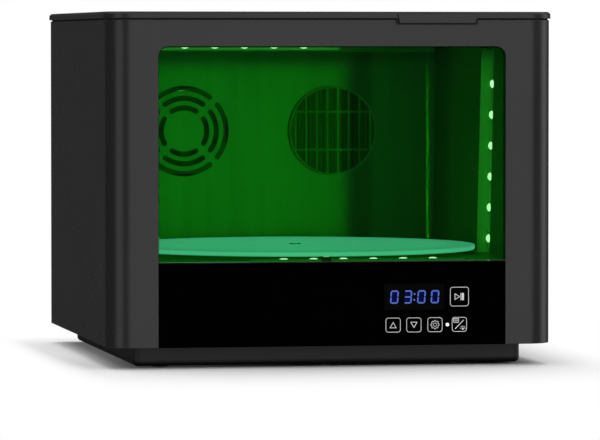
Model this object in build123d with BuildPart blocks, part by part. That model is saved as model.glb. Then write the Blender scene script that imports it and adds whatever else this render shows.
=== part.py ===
"""Dental laboratory light curing unit: lidded chamber, turntable, light strips and fans.

Millimetres, +Z up, front towards -Y. The origin is at the middle of the footprint on the bench.
"""
from build123d import *
from math import cos, pi, radians, sin
import os

os.makedirs("parts", exist_ok=True)

# ---------------------------------------------------------------- outer body
BODY_WIDTH = 450.0          # outside of the side panels
BODY_DEPTH = 459.0          # front face to rear panel
BODY_HEIGHT = 323.9         # outer panels, bottom to top edge
BODY_BOTTOM = 21.5          # underside of the body above the bench
CORNER_RADIUS = 26.4        # upright corners, in plan
WALL = 2.5                  # outer panels
PANEL_SEAM = 0.4            # open line between neighbouring outer panels
FIT_GAP = 0.2               # clearance round pieces that drop in
JOGGLE_DEPTH = 8.0          # tongue that laps behind the front frame
JOGGLE_SHEET = 1.5

# ---------------------------------------------------------------- base and feet
BASE_FRONT_INSET = 24.7
BASE_REAR_INSET = 15.4
BASE_SIDE_INSET = 28.6
BASE_CORNER = 7.0
BASE_EDGE = 4.5             # rounded lower edge
BASE_WALL = 4.0
BASE_RIB = 3.0
BASE_RIB_COUNT = 3
FOOT_RADIUS = 9.0
FOOT_HEIGHT = 2.0           # part of the foot that shows below the base
FOOT_SEAT = 2.5             # depth of the recess that holds a foot
FOOT_INSET = 30.0           # from the base's edges
FOOT_CHAMFER = 1.0
PAN_SHEET = 2.0

# ---------------------------------------------------------------- front frame, window, fascia
POST_WIDTH = 49.8           # upright of the front frame beside the window
TOP_RAIL = 26.4             # front frame above the window
FASCIA_HEIGHT = 84.2
PANE_SHEET = 4.0
PANE_GAP = 0.15
WINDOW_CORNER = 10.0
LIP_SHEET = 4.0             # ledge that the window and the fascia rest on
LIP_WIDTH = 1.0
FRAME_RIB = 6.0             # thick border round the window
SILL_HEIGHT = 6.0
CROSSBAR_HEIGHT = 7.0       # ledge behind the joint, below the chamber floor

# ---------------------------------------------------------------- chamber
FLOOR_DROP = 0.7            # chamber floor below the fascia's top edge
FLOOR_SHEET = 2.0
FLOOR_FLANGE = 12.0         # turned-down edges of the floor
DECK_SHEET = 2.5
LINER_SHEET = 2.0
LINER_INSET = 32.1          # inside of a side liner from the outside, at the chamber floor
LINER_DRAFT = 5.8           # how much wider each side is at the top
CHANNEL_DEPTH = 13.0        # light channel in a side liner
CHANNEL_SETBACK = 219.9     # its square flank from the back wall
CHANNEL_FLAT = 16.0         # its flat bottom
CHANNEL_SLOPE = 44.7        # its sloping front flank
CHANNEL_TOP_DROP = 28.0     # its closed top below the deck
BACK_SHEET = 1.0
BACK_HEM_INSET = 5.9        # raised hem from the side liner, at the chamber floor
BACK_HEM_WIDTH = 3.0
BACK_HEM_RISE = 1.2

# ---------------------------------------------------------------- vents and fans
VENT_X = 81.0
VENT_DROP = 115.4           # middle of both vents below the deck
VENT_RADIUS = 48.2
ARC_RADII = (25.0, 35.4, 46.0)
ARC_WIDTH = 5.6
ARC_SPOKE = 6.0             # web left between two arcs
ARC_COUNT = 4
GRILLE_RING = 2.0
GRILLE_RISE = 8.0           # how far the grille stands out from the back wall
GRILLE_SHEET = 2.5
GRILLE_BAR = 2.0
GRILLE_UPRIGHTS = 8
GRILLE_PITCH = 11.7
GRILLE_RAIL_Z = 20.5        # the two cross rails, above and below the middle
FILTER_PLEAT = 1.8
FILTER_PLEATS = 20
FILTER_PITCH = 4.1
FILTER_SKIN = 1.2
REAR_VENT_RADIUS = 40.0
REAR_ARC_RADII = (18.3, 29.6, 40.9)
REAR_SLOT = 3.2
REAR_SLOT_PITCH = 6.4
REAR_SLOTS = 12
FAN_SIZE = 92.0
FAN_DEPTH = 25.0
FAN_CORNER = 5.0
FAN_FLANGE = 3.5
FAN_DUCT_RADIUS = 44.0
FAN_DUCT_WALL = 1.6
FAN_HOLE_PITCH = 82.5
FAN_HOLE_RADIUS = 2.2
FAN_HUB_RADIUS = 18.0
FAN_STATOR = 4.0
FAN_STRUT = 4.0
FAN_STRUTS = 4
FAN_BLADES = 9
FAN_TIP_GAP = 1.2
FAN_RUNNING_GAP = 0.8
FAN_SHAFT_RADIUS = 1.5
FAN_BLADE_SHEET = 1.4
FAN_BLADE_CHORD = 22.0
FAN_BLADE_ROOT_PITCH = 44.0
FAN_BLADE_TIP_PITCH = 34.0
SHAFT_GAP = 0.05            # running clearance of every shaft in its bore

# ---------------------------------------------------------------- turntable and its drive
TABLE_SHEET = 5.0
TABLE_RISE = 4.4            # underside of the disc above the chamber floor
TABLE_SIDE_GAP = 6.7        # to the side liners
TABLE_FRONT_GAP = 3.4       # to the floor light bar
TABLE_REAR_GAP = 12.0       # least distance to the back wall
TABLE_EDGE = 0.8
HUB_RADIUS = 28.0
HUB_SHEET = 3.0
SPINDLE_RADIUS = 4.0
SPINDLE_REACH = 15.0        # below the chamber floor
CAP_RADIUS = 6.0
CAP_RISE = 1.2
CAP_TAPER = 20.0
CAP_STEM_RADIUS = 4.5
MOTOR_NOSE_RADIUS = 10.0
MOTOR_NOSE_DROP = 0.4       # how far the nose stays below the floor's top
GEARBOX_RADIUS = 26.0
GEARBOX_HEIGHT = 24.0
MOTOR_RADIUS = 18.0
MOTOR_HEIGHT = 26.0
EAR_PITCH = 66.0
EAR_RADIUS = 6.0
EAR_SHEET = 3.0
EAR_HOLE = 1.8

# ---------------------------------------------------------------- light strips
LED_RADIUS = 4.2
LED_RISE = 3.0
LED_CROWN = 1.5
LOW_LED_RISE = 2.0           # the flatter lamps of the top and floor strips
LOW_LED_CROWN = 1.0
BOARD_SHEET = 1.6
BOARD_WIDTH = 12.0
SIDE_LED_PITCH = 32.2
SIDE_LED_RISE = 13.9        # lowest lamp above the chamber floor
SIDE_BOARD_MARGIN = 9.0
TOP_LED_COUNT = 6
TOP_LED_PITCH = 32.5
TOP_LED_OFFSET = -33.6      # middle of the row from the middle of the body
TOP_LENS_LEFT = -160.0
TOP_LENS_RIGHT = 86.0
TOP_LENS_SHEET = 2.0
TOP_LENS_END = 3.3          # slant of its ends
TOP_BAR_DROP = 30.2         # its lower edge below the deck
TOP_BAR_HEIGHT = 15.3
TOP_BAR_DEPTH = 8.0          # of the leg that stands on the back wall
TOP_BAR_REACH = 12.0         # of the shelf over the leg
TOP_BAR_STEP = 5.7           # underside of the shelf above the lower edge
TOP_BAR_SIDE_GAP = 4.0
TOP_BAR_EDGE = 2.0
FLOOR_LED_COUNT = 6
FLOOR_LED_PITCH = 30.3
FLOOR_BAR_OFFSET = 28.2     # middle of the row from the middle of the body
FLOOR_BAR_LENGTH = 220.0
FLOOR_BAR_WIDTH = 11.0
FLOOR_BAR_RISE = 2.6
SENSOR_X = -5.5
SENSOR_WIDTH = 10.0
SENSOR_RISE = 5.0

# ---------------------------------------------------------------- lid
LID_GAP = 1.4               # open line under the lid
LID_HEIGHT = 6.7
LID_OVERHANG = 1.5
LID_SHEET = 2.5
LID_CHAMFER = 2.2
TRAY_SHEET = 1.5            # inner reflector tray of the lid
TRAY_DROP = 18.0            # its bottom below the lid's inside
TRAY_SIDE_GAP = 8.0         # between the tray and the chamber's opening
TRAY_CORNER = 12.0
SEAL_WIDTH = 4.0
SEAL_INSET = 1.0            # from the chamber's opening
SEAL_COVER = 0.5            # tray flange past the seal
SEAL_CORNER = 2.0
PULL_INSET = 79.4           # right end of the finger pull from the body's side
PULL_WIDTH = 81.1
PULL_TAPER = 2.0
PULL_DROP = 3.7             # its lower edge below the body's top edge
PULL_TOP_DROP = 2.6         # its upper edge below the lid's top
PULL_RISE = 2.5             # how far it stands out from the lid's edge
PULL_BODY_GAP = 0.6
PULL_EDGE = 0.9

# ---------------------------------------------------------------- lid hinges
HINGE_INSET = 95.0          # middle of a hinge from the body's side
HINGE_LENGTH = 60.0
HINGE_END_LENGTH = 15.0     # each of the two body knuckles
KNUCKLE_RADIUS = 3.5
KNUCKLE_GAP = 0.5
HINGE_SETBACK = 0.5         # axis behind the rear panel's face
HINGE_PIN_RADIUS = 1.5
HINGE_LEAF = 2.0
HINGE_LEAF_DROP = 26.0
HINGE_LEAF_REACH = 14.0
HINGE_WEB = 1.8

# ---------------------------------------------------------------- controls
DISPLAY_INSET = 60.3        # right edge of the display window from the fascia's side
DISPLAY_WIDTH = 63.1
DISPLAY_HEIGHT = 27.1
DISPLAY_RISE = 34.6         # its lower edge above the fascia's
DISPLAY_CORNER = 1.0
LENS_SHEET = 2.0
MODULE_WIDTH = 50.4
MODULE_HEIGHT = 19.2
MODULE_DEPTH = 8.0
UP_KEY_INSET = 114.5        # lower row of keys, from the fascia's right side
DOWN_KEY_INSET = 93.4
PROGRAM_KEY_INSET = 71.9
MODE_KEY_INSET = 47.0
KEY_ROW_RISE = 20.2         # lower row above the fascia's lower edge
START_KEY_RISE = 48.0       # start key, above the last of the lower row
KEY_RADIUS = 5.0
CONTROL_BOARD_INSET = 25.2
CONTROL_BOARD_WIDTH = 106.0
CONTROL_BOARD_HEIGHT = 64.0
CONTROL_BOARD_RISE = 8.5
BOARD_CORNER = 2.0
MCU_SIZE = 12.0
MCU_RISE = 1.6

# ---------------------------------------------------------------- power and electronics
INLET_INSET = 75.0          # middle of the inlet from the body's side
INLET_RISE = 40.5           # middle of the inlet and the switch above the body's underside
INLET_WIDTH = 27.0
INLET_HEIGHT = 20.0
INLET_FLANGE = 4.0
INLET_FLANGE_SHEET = 2.5
INLET_DEPTH = 22.0
INLET_WALL = 1.5
INLET_CORNER = 4.0
PIN_WIDTH = 2.0
PIN_HEIGHT = 4.0
PIN_SHORT = 6.0             # pin tips below the socket's mouth
PIN_PITCH = 7.0
PIN_OFFSET = 2.0
SWITCH_SPACING = 45.0       # inlet to switch
SWITCH_WIDTH = 21.0
SWITCH_HEIGHT = 15.0
SWITCH_FLANGE = 2.0
SWITCH_FLANGE_SHEET = 1.5
SWITCH_DEPTH = 16.0
ROCKER_GAP = 0.5
ROCKER_TILT = 8.0           # either way from level
ROCKER_PIVOT_DEPTH = 5.0    # pivot below the flange's face
ROCKER_PIN_RADIUS = 1.2
ROCKER_CROWN = 1.4
ROCKER_TAPER = 1.2          # each end leans in towards the face
ROCKER_THICK = 7.0
SUPPLY_SIDE_GAP = 35.5      # housed in the lower bay, from the body's side
SUPPLY_REAR_GAP = 55.0
SUPPLY_WIDTH = 99.0
SUPPLY_DEPTH = 129.0
SUPPLY_HEIGHT = 38.0
SUPPLY_SHEET = 1.5
SUPPLY_SLOT = 3.0
SUPPLY_SLOTS = 9
SUPPLY_SLOT_PITCH = 10.0
DRIVER_SIDE_GAP = 45.0
DRIVER_REAR_GAP = 84.5
DRIVER_WIDTH = 90.0
DRIVER_DEPTH = 130.0
STANDOFF_HEIGHT = 8.0
STANDOFF_RADIUS = 3.0
COIL_RADIUS = 8.0
COIL_HEIGHT = 11.0
COIL_COUNT = 4
COIL_PITCH = 26.0
HEATSINK_WIDTH = 14.0
HEATSINK_HEIGHT = 24.0
HEATSINK_FIN = 2.0
HEATSINK_FINS = 4
INTERLOCK_INSET = 75.0
INTERLOCK_WIDTH = 24.0
INTERLOCK_DEPTH = 7.0
INTERLOCK_HEIGHT = 8.0

# ---------------------------------------------------------------- worked out from the above
HALF_W = BODY_WIDTH / 2
HALF_D = BODY_DEPTH / 2
BODY_TOP = BODY_BOTTOM + BODY_HEIGHT
FRONT_SEAM_Y = CORNER_RADIUS - HALF_D
REAR_SEAM_X = HALF_W - CORNER_RADIUS
INNER_W = HALF_W - WALL
INNER_D = HALF_D - WALL
PAN_TOP = BODY_BOTTOM + PAN_SHEET
PANE_WIDTH = BODY_WIDTH - 2 * POST_WIDTH
PANE_BACK = PANE_SHEET - HALF_D
LIP_BACK = PANE_BACK + LIP_SHEET
WINDOW_TOP = BODY_TOP - TOP_RAIL
FASCIA_TOP = BODY_BOTTOM + FASCIA_HEIGHT        # joint between the window and the fascia
FLOOR_TOP = FASCIA_TOP - FLOOR_DROP
FLOOR_LOW = FLOOR_TOP - FLOOR_SHEET
DECK_LOW = BODY_TOP - DECK_SHEET
FAN_BACK = INNER_D - FIT_GAP / 2
FAN_FRONT = FAN_BACK - FAN_DEPTH
BACK_REAR = FAN_FRONT - FIT_GAP / 2
BACK_FRONT = BACK_REAR - BACK_SHEET
VENT_Z = DECK_LOW - VENT_DROP
TOP_BAR_LOW = DECK_LOW - TOP_BAR_DROP
LINER_HALF_WIDTH = HALF_W - LINER_INSET
OPENING_HALF = LINER_HALF_WIDTH + LINER_DRAFT
OPENING_FRONT = LIP_BACK + FIT_GAP
CHANNEL_REAR = BACK_FRONT - CHANNEL_SETBACK
CHANNEL_TOP = DECK_LOW - CHANNEL_TOP_DROP
LID_LOW = BODY_TOP + LID_GAP
LID_TOP = LID_LOW + LID_HEIGHT
LID_UNDER = LID_TOP - LID_SHEET
SEAM_Z = BODY_TOP + LID_GAP / 2
HINGE_Y = HALF_D + HINGE_SETBACK
HINGE_X = HALF_W - HINGE_INSET
FLOOR_BAR_BACK = OPENING_FRONT + FIT_GAP + FLOOR_BAR_WIDTH
TABLE_FRONT = FLOOR_BAR_BACK + TABLE_FRONT_GAP
TABLE_RADIUS = min(LINER_HALF_WIDTH - TABLE_SIDE_GAP, (BACK_FRONT - TABLE_REAR_GAP - TABLE_FRONT) / 2)
TABLE_CENTRE_Y = TABLE_FRONT + TABLE_RADIUS
TABLE_LOW = FLOOR_TOP + TABLE_RISE
TABLE_TOP = TABLE_LOW + TABLE_SHEET


def facing_front(x, y, z):
    """Plane at a point, looking out of the front: its own axes are X and Z."""
    return Plane(origin=(x, y, z), x_dir=(1, 0, 0), z_dir=(0, -1, 0))


def facing_side(x, y, z):
    """Plane at a point, looking towards +X: its own axes are Y and Z."""
    return Plane(origin=(x, y, z), x_dir=(0, 1, 0), z_dir=(1, 0, 0))


def liner_half_width(z):
    """Inside half width of the chamber between the drafted side liners at a height."""
    return LINER_HALF_WIDTH + LINER_DRAFT * (z - FLOOR_TOP) / (DECK_LOW - FLOOR_TOP)


def spread(count, pitch):
    """Positions of a centred row."""
    return [(index - (count - 1) / 2) * pitch for index in range(count)]


def save(builder, label):
    """Label a finished piece and write it."""
    builder.part.label = label
    export_step(builder.part, f"parts/{label}.step")


# ================================================================ base
BASE_WIDTH = BODY_WIDTH - 2 * BASE_SIDE_INSET
BASE_DEPTH = BODY_DEPTH - BASE_FRONT_INSET - BASE_REAR_INSET
BASE_CENTRE_Y = BASE_FRONT_INSET - HALF_D + BASE_DEPTH / 2
FOOT_SPREAD_X = BASE_WIDTH - 2 * FOOT_INSET
FOOT_SPREAD_Y = BASE_DEPTH - 2 * FOOT_INSET

with BuildPart() as base_plinth:
    with BuildSketch(Plane.XY.offset(FOOT_HEIGHT)):
        with Locations((0, BASE_CENTRE_Y)):
            RectangleRounded(BASE_WIDTH, BASE_DEPTH, BASE_CORNER)
    extrude(amount=BODY_BOTTOM - FOOT_HEIGHT)
    fillet(base_plinth.faces().sort_by(Axis.Z)[0].edges(), radius=BASE_EDGE)
    with BuildSketch(Plane.XY.offset(BODY_BOTTOM)):
        with Locations((0, BASE_CENTRE_Y)):
            RectangleRounded(BASE_WIDTH - 2 * BASE_WALL, BASE_DEPTH - 2 * BASE_WALL, BASE_CORNER - BASE_WALL)
            for rib_x in spread(BASE_RIB_COUNT, BASE_WIDTH / (BASE_RIB_COUNT + 1)):
                with Locations((rib_x, 0)):
                    Rectangle(BASE_RIB, BASE_DEPTH, mode=Mode.SUBTRACT)
            for rib_y in spread(BASE_RIB_COUNT, BASE_DEPTH / (BASE_RIB_COUNT + 1)):
                with Locations((0, rib_y)):
                    Rectangle(BASE_WIDTH, BASE_RIB, mode=Mode.SUBTRACT)
    extrude(amount=-(BODY_BOTTOM - FOOT_HEIGHT - FOOT_SEAT - BASE_WALL), mode=Mode.SUBTRACT)
    with BuildSketch(Plane.XY.offset(FOOT_HEIGHT)):
        with Locations((0, BASE_CENTRE_Y)):
            with GridLocations(FOOT_SPREAD_X, FOOT_SPREAD_Y, 2, 2):
                Circle(FOOT_RADIUS + FIT_GAP)
    extrude(amount=FOOT_SEAT, mode=Mode.SUBTRACT)
save(base_plinth, "base_plinth")

with BuildPart() as rubber_feet:
    with BuildSketch(Plane.XY):
        with Locations((0, BASE_CENTRE_Y)):
            with GridLocations(FOOT_SPREAD_X, FOOT_SPREAD_Y, 2, 2):
                Circle(FOOT_RADIUS)
    extrude(amount=FOOT_HEIGHT + FOOT_SEAT)
    chamfer(rubber_feet.edges().group_by(Axis.Z)[0], length=FOOT_CHAMFER)
save(rubber_feet, "rubber_feet")

with BuildPart() as bottom_pan:
    with BuildSketch(Plane.XY.offset(BODY_BOTTOM)):
        RectangleRounded(2 * (INNER_W - FIT_GAP), 2 * (INNER_D - FIT_GAP), CORNER_RADIUS - WALL)
        with Locations((0, FRONT_SEAM_Y - CORNER_RADIUS)):
            Rectangle(PANE_WIDTH + 2 * FRAME_RIB + 2 * FIT_GAP, 2 * (LIP_BACK + HALF_D + FIT_GAP),
                      mode=Mode.SUBTRACT)
    extrude(amount=PAN_SHEET)
save(bottom_pan, "bottom_pan")

# ================================================================ outer shell


def inner_ring(offset, thickness):
    """Draw the plan of a wall that lines the shell, a given way in from the outside."""
    for inset, mode in ((offset, Mode.ADD), (offset + thickness, Mode.SUBTRACT)):
        RectangleRounded(BODY_WIDTH - 2 * inset, BODY_DEPTH - 2 * inset, CORNER_RADIUS - inset, mode=mode)


def window_outline(grow, low):
    """Draw the window's outline, grown all round, from a height upwards, on a front plane at z = 0."""
    top = WINDOW_TOP + grow
    with Locations((0, (low + top) / 2)):
        Rectangle(PANE_WIDTH + 2 * grow, top - low)


with BuildPart() as front_frame:
    with BuildSketch(Plane.XY.offset(BODY_BOTTOM)):
        inner_ring(0, WALL)
    extrude(amount=BODY_HEIGHT)
    split(bisect_by=facing_front(0, FRONT_SEAM_Y, 0), keep=Keep.TOP)
    with BuildSketch(facing_front(0, LIP_BACK, 0)):
        window_outline(FRAME_RIB, BODY_BOTTOM)
    extrude(amount=PANE_SHEET + LIP_SHEET)
    with BuildSketch(facing_front(0, PANE_BACK, 0)) as pane_pocket:
        window_outline(PANE_GAP, BODY_BOTTOM)
        fillet(pane_pocket.vertices().group_by(Axis.Y)[-1], WINDOW_CORNER)
    extrude(amount=PANE_SHEET, mode=Mode.SUBTRACT)
    with BuildSketch(facing_front(0, LIP_BACK, 0)) as sight_opening:
        window_outline(-LIP_WIDTH, FLOOR_TOP)
        fillet(sight_opening.vertices().group_by(Axis.Y)[-1], WINDOW_CORNER - LIP_WIDTH)
    extrude(amount=LIP_SHEET, mode=Mode.SUBTRACT)
    with BuildSketch(facing_front(0, LIP_BACK, 0)):
        with Locations((0, (BODY_BOTTOM + SILL_HEIGHT + FLOOR_TOP - CROSSBAR_HEIGHT) / 2)):
            Rectangle(PANE_WIDTH - 2 * LIP_WIDTH, FLOOR_TOP - CROSSBAR_HEIGHT - BODY_BOTTOM - SILL_HEIGHT)
    extrude(amount=LIP_SHEET, mode=Mode.SUBTRACT)
save(front_frame, "front_frame")

HINGE_POCKET = KNUCKLE_RADIUS + KNUCKLE_GAP
HINGE_POCKET_LENGTH = HINGE_LENGTH + 2 * KNUCKLE_GAP

for side, name in ((-1, "left"), (1, "right")):
    with BuildPart() as side_panel:
        with BuildSketch(Plane.XY.offset(BODY_BOTTOM)):
            inner_ring(0, WALL)
        extrude(amount=BODY_HEIGHT)
        split(bisect_by=facing_front(0, FRONT_SEAM_Y + PANEL_SEAM, 0), keep=Keep.BOTTOM)
        split(bisect_by=Plane.YZ.offset(side * REAR_SEAM_X), keep=Keep.TOP if side > 0 else Keep.BOTTOM)
        for tongue_low, tongue_high in ((PAN_TOP, FLOOR_LOW), (FLOOR_TOP, DECK_LOW)):
            with BuildSketch(Plane.XY.offset(tongue_low + FIT_GAP)):
                inner_ring(WALL, JOGGLE_SHEET)
                with Locations((side * HALF_W, FRONT_SEAM_Y + PANEL_SEAM)):
                    Rectangle(CORNER_RADIUS, 2 * JOGGLE_DEPTH, mode=Mode.INTERSECT)
            extrude(amount=tongue_high - tongue_low - 2 * FIT_GAP)
    save(side_panel, f"{name}_side_panel")


def arc_vent(radii, width):
    """Draw rings of slots with round ends, four to a ring, with webs on the diagonals."""
    for radius in radii:
        half_sweep = 180 / ARC_COUNT - (ARC_SPOKE + width) / 2 / radius * 180 / pi
        with PolarLocations(0, ARC_COUNT):
            with BuildLine(mode=Mode.PRIVATE) as slot_line:
                CenterArc((0, 0), radius, -half_sweep, 2 * half_sweep)
            SlotArc(slot_line.wire(), width)


def bar_vent(radius, count, pitch, width):
    """Draw a round field of upright slots."""
    for slot_x in spread(count, pitch):
        reach = 2 * (radius ** 2 - slot_x ** 2) ** 0.5
        with Locations((slot_x, 0)):
            SlotOverall(reach, width, rotation=90)


INLET_X = INLET_INSET - HALF_W
INLET_Z = BODY_BOTTOM + INLET_RISE
SWITCH_X = INLET_X + SWITCH_SPACING
SOCKET_MOUTH = HALF_D + INLET_FLANGE_SHEET

with BuildPart() as rear_panel:
    with BuildSketch(facing_front(0, HALF_D, (BODY_BOTTOM + BODY_TOP) / 2)):
        Rectangle(2 * (REAR_SEAM_X - PANEL_SEAM), BODY_HEIGHT)
    extrude(amount=WALL)
    with BuildSketch(facing_front(-VENT_X, HALF_D, VENT_Z)):
        arc_vent(REAR_ARC_RADII, ARC_WIDTH)
    extrude(amount=WALL, mode=Mode.SUBTRACT)
    with BuildSketch(facing_front(VENT_X, HALF_D, VENT_Z)):
        bar_vent(REAR_VENT_RADIUS, REAR_SLOTS, REAR_SLOT_PITCH, REAR_SLOT)
    extrude(amount=WALL, mode=Mode.SUBTRACT)
    with BuildSketch(facing_front(0, HALF_D, 0)):
        with Locations((INLET_X, INLET_Z)):
            Rectangle(INLET_WIDTH + 2 * FIT_GAP, INLET_HEIGHT + 2 * FIT_GAP)
        with Locations((SWITCH_X, INLET_Z)):
            Rectangle(SWITCH_WIDTH + 2 * FIT_GAP, SWITCH_HEIGHT + 2 * FIT_GAP)
    extrude(amount=WALL, mode=Mode.SUBTRACT)
    for side in (-1, 1):
        with BuildSketch(facing_side(side * HINGE_X - HINGE_POCKET_LENGTH / 2, HINGE_Y, SEAM_Z)):
            Circle(HINGE_POCKET)
        extrude(amount=HINGE_POCKET_LENGTH, mode=Mode.SUBTRACT)
        with BuildSketch(facing_front(side * HINGE_X, HALF_D, SEAM_Z)):
            Rectangle(HINGE_POCKET_LENGTH, 2 * HINGE_POCKET)
        extrude(amount=WALL, mode=Mode.SUBTRACT)
save(rear_panel, "rear_panel")

# ================================================================ chamber
with BuildPart() as top_deck:
    with BuildSketch(Plane.XY.offset(DECK_LOW)):
        RectangleRounded(2 * (INNER_W - FIT_GAP), 2 * (INNER_D - FIT_GAP), CORNER_RADIUS - WALL)
        with Locations((0, (OPENING_FRONT + BACK_FRONT) / 2)):
            Rectangle(2 * OPENING_HALF, BACK_FRONT - OPENING_FRONT, mode=Mode.SUBTRACT)
        for side in (-1, 1):
            with Locations((side * HINGE_X, INNER_D)):
                Rectangle(HINGE_POCKET_LENGTH, 2 * (HINGE_LEAF + 2 * FIT_GAP), mode=Mode.SUBTRACT)
    extrude(amount=DECK_SHEET)
save(top_deck, "top_deck")

with BuildPart() as chamber_floor:
    with BuildSketch(Plane.XY.offset(FLOOR_LOW)):
        RectangleRounded(2 * (INNER_W - FIT_GAP), 2 * (INNER_D - FIT_GAP), CORNER_RADIUS - WALL)
        with Locations((0, -HALF_D)):
            Rectangle(PANE_WIDTH + 2 * FRAME_RIB + 2 * FIT_GAP, 2 * (LIP_BACK + HALF_D + FIT_GAP),
                      mode=Mode.SUBTRACT)
        with Locations((0, TABLE_CENTRE_Y)):
            Circle(MOTOR_NOSE_RADIUS + FIT_GAP, mode=Mode.SUBTRACT)
    extrude(amount=FLOOR_SHEET)
    with BuildSketch(Plane.XY.offset(FLOOR_LOW)):
        for side in (-1, 1):
            with Locations((side * (INNER_W - FIT_GAP - FLOOR_SHEET / 2), 0)):
                Rectangle(FLOOR_SHEET, BODY_DEPTH - 4 * CORNER_RADIUS)
    extrude(amount=-FLOOR_FLANGE)
    with BuildSketch(Plane.XY.offset(FLOOR_LOW)):
        with Locations((0, LIP_BACK + FIT_GAP + FLOOR_SHEET / 2)):
            Rectangle(PANE_WIDTH - 2 * LIP_WIDTH, FLOOR_SHEET)
    extrude(amount=-(CROSSBAR_HEIGHT - FLOOR_SHEET))
save(chamber_floor, "chamber_floor")


def liner_profile(side, inside):
    """Corners of a side liner's plan: straight wall with the light channel pressed outwards."""
    deep = inside + CHANNEL_DEPTH
    flat_front = CHANNEL_REAR - CHANNEL_FLAT
    slope_front = flat_front - CHANNEL_SLOPE
    outline = (
        (inside, OPENING_FRONT),
        (inside, slope_front),
        (deep, flat_front),
        (deep, CHANNEL_REAR),
        (inside, CHANNEL_REAR),
        (inside, BACK_FRONT - FIT_GAP / 2),
        (inside + LINER_SHEET, BACK_FRONT - FIT_GAP / 2),
        (inside + LINER_SHEET, CHANNEL_REAR + LINER_SHEET),
        (deep + LINER_SHEET, CHANNEL_REAR + LINER_SHEET),
        (deep + LINER_SHEET, flat_front - LINER_SHEET),
        (inside + LINER_SHEET, slope_front - LINER_SHEET),
        (inside + LINER_SHEET, OPENING_FRONT),
    )
    return [(side * x, y) for x, y in outline]


def channel_profile(side, inside):
    """Corners of the light channel's hollow in plan, inside face to bottom."""
    deep = inside + CHANNEL_DEPTH + LINER_SHEET / 2
    flat_front = CHANNEL_REAR - CHANNEL_FLAT
    slope_front = flat_front - CHANNEL_SLOPE
    flank = CHANNEL_REAR + LINER_SHEET / 2
    outline = ((inside, slope_front), (deep, flat_front), (deep, flank), (inside, flank))
    return [(side * x, y) for x, y in outline]


def board_profile(side, inside):
    """Draw the plan of a light board that lies on the channel's bottom."""
    middle_x = inside + CHANNEL_DEPTH - BOARD_SHEET / 2 - FIT_GAP / 4
    with Locations((side * middle_x, CHANNEL_REAR - CHANNEL_FLAT / 2)):
        Rectangle(BOARD_SHEET, BOARD_WIDTH)


SIDE_LED_LOW = FLOOR_TOP + SIDE_LED_RISE
SIDE_LED_COUNT = 1 + int((CHANNEL_TOP - SIDE_BOARD_MARGIN - SIDE_LED_LOW) / SIDE_LED_PITCH)
SIDE_LED_Z = [SIDE_LED_LOW + index * SIDE_LED_PITCH for index in range(SIDE_LED_COUNT)]
BOARD_LOW_Z = SIDE_LED_Z[0] - SIDE_BOARD_MARGIN
BOARD_HIGH_Z = SIDE_LED_Z[-1] + SIDE_BOARD_MARGIN

for side, name in ((-1, "left"), (1, "right")):
    with BuildPart() as side_liner:
        for level in (FLOOR_TOP, DECK_LOW):
            with BuildSketch(Plane.XY.offset(level)):
                with BuildLine():
                    Polyline(*liner_profile(side, liner_half_width(level)), close=True)
                make_face()
        loft(ruled=True)
        with BuildSketch(Plane.XY.offset(CHANNEL_TOP)):
            with BuildLine():
                Polyline(*channel_profile(side, liner_half_width(CHANNEL_TOP)), close=True)
            make_face()
        extrude(amount=LINER_SHEET)
    save(side_liner, f"{name}_liner")

    with BuildPart() as light_board:
        for level in (BOARD_LOW_Z, BOARD_HIGH_Z):
            with BuildSketch(Plane.XY.offset(level)):
                board_profile(side, liner_half_width(level))
        loft(ruled=True)
    save(light_board, f"{name}_light_board")

    with BuildPart() as side_leds:
        for led_z in SIDE_LED_Z:
            seat = liner_half_width(led_z + LED_RADIUS) + CHANNEL_DEPTH - BOARD_SHEET - FIT_GAP
            seat -= LINER_DRAFT * 2 * LED_RADIUS / (DECK_LOW - FLOOR_TOP)
            middle_y = CHANNEL_REAR - CHANNEL_FLAT / 2
            with BuildSketch(Plane(origin=(side * seat, middle_y, led_z), z_dir=(-side, 0, 0))):
                Circle(LED_RADIUS)
            extrude(amount=LED_RISE)
            crown = side_leds.faces(Select.LAST).filter_by(Axis.X).sort_by(Axis.X)[0 if side > 0 else -1]
            chamfer(crown.edges(), length=LED_CROWN)
    save(side_leds, f"{name}_leds")

with BuildPart() as back_wall:
    with BuildSketch(facing_front(0, BACK_REAR, (FLOOR_TOP + DECK_LOW) / 2)):
        Rectangle(2 * (OPENING_HALF + LINER_SHEET), DECK_LOW - FLOOR_TOP)
    extrude(amount=BACK_SHEET)
    with BuildSketch(facing_front(0, BACK_FRONT, (FLOOR_TOP + TOP_BAR_LOW) / 2)):
        for side in (-1, 1):
            with Locations((side * (LINER_HALF_WIDTH - BACK_HEM_INSET), 0)):
                Rectangle(BACK_HEM_WIDTH, TOP_BAR_LOW - FLOOR_TOP)
    extrude(amount=BACK_HEM_RISE)
    with BuildSketch(facing_front(-VENT_X, BACK_REAR, VENT_Z)):
        arc_vent(ARC_RADII, ARC_WIDTH)
    extrude(amount=BACK_SHEET, mode=Mode.SUBTRACT)
    with BuildSketch(facing_front(VENT_X, BACK_REAR, VENT_Z)):
        Circle(VENT_RADIUS + FIT_GAP)
    extrude(amount=BACK_SHEET, mode=Mode.SUBTRACT)
save(back_wall, "back_wall")

GRILLE_FRONT = BACK_FRONT - GRILLE_RISE

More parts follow.
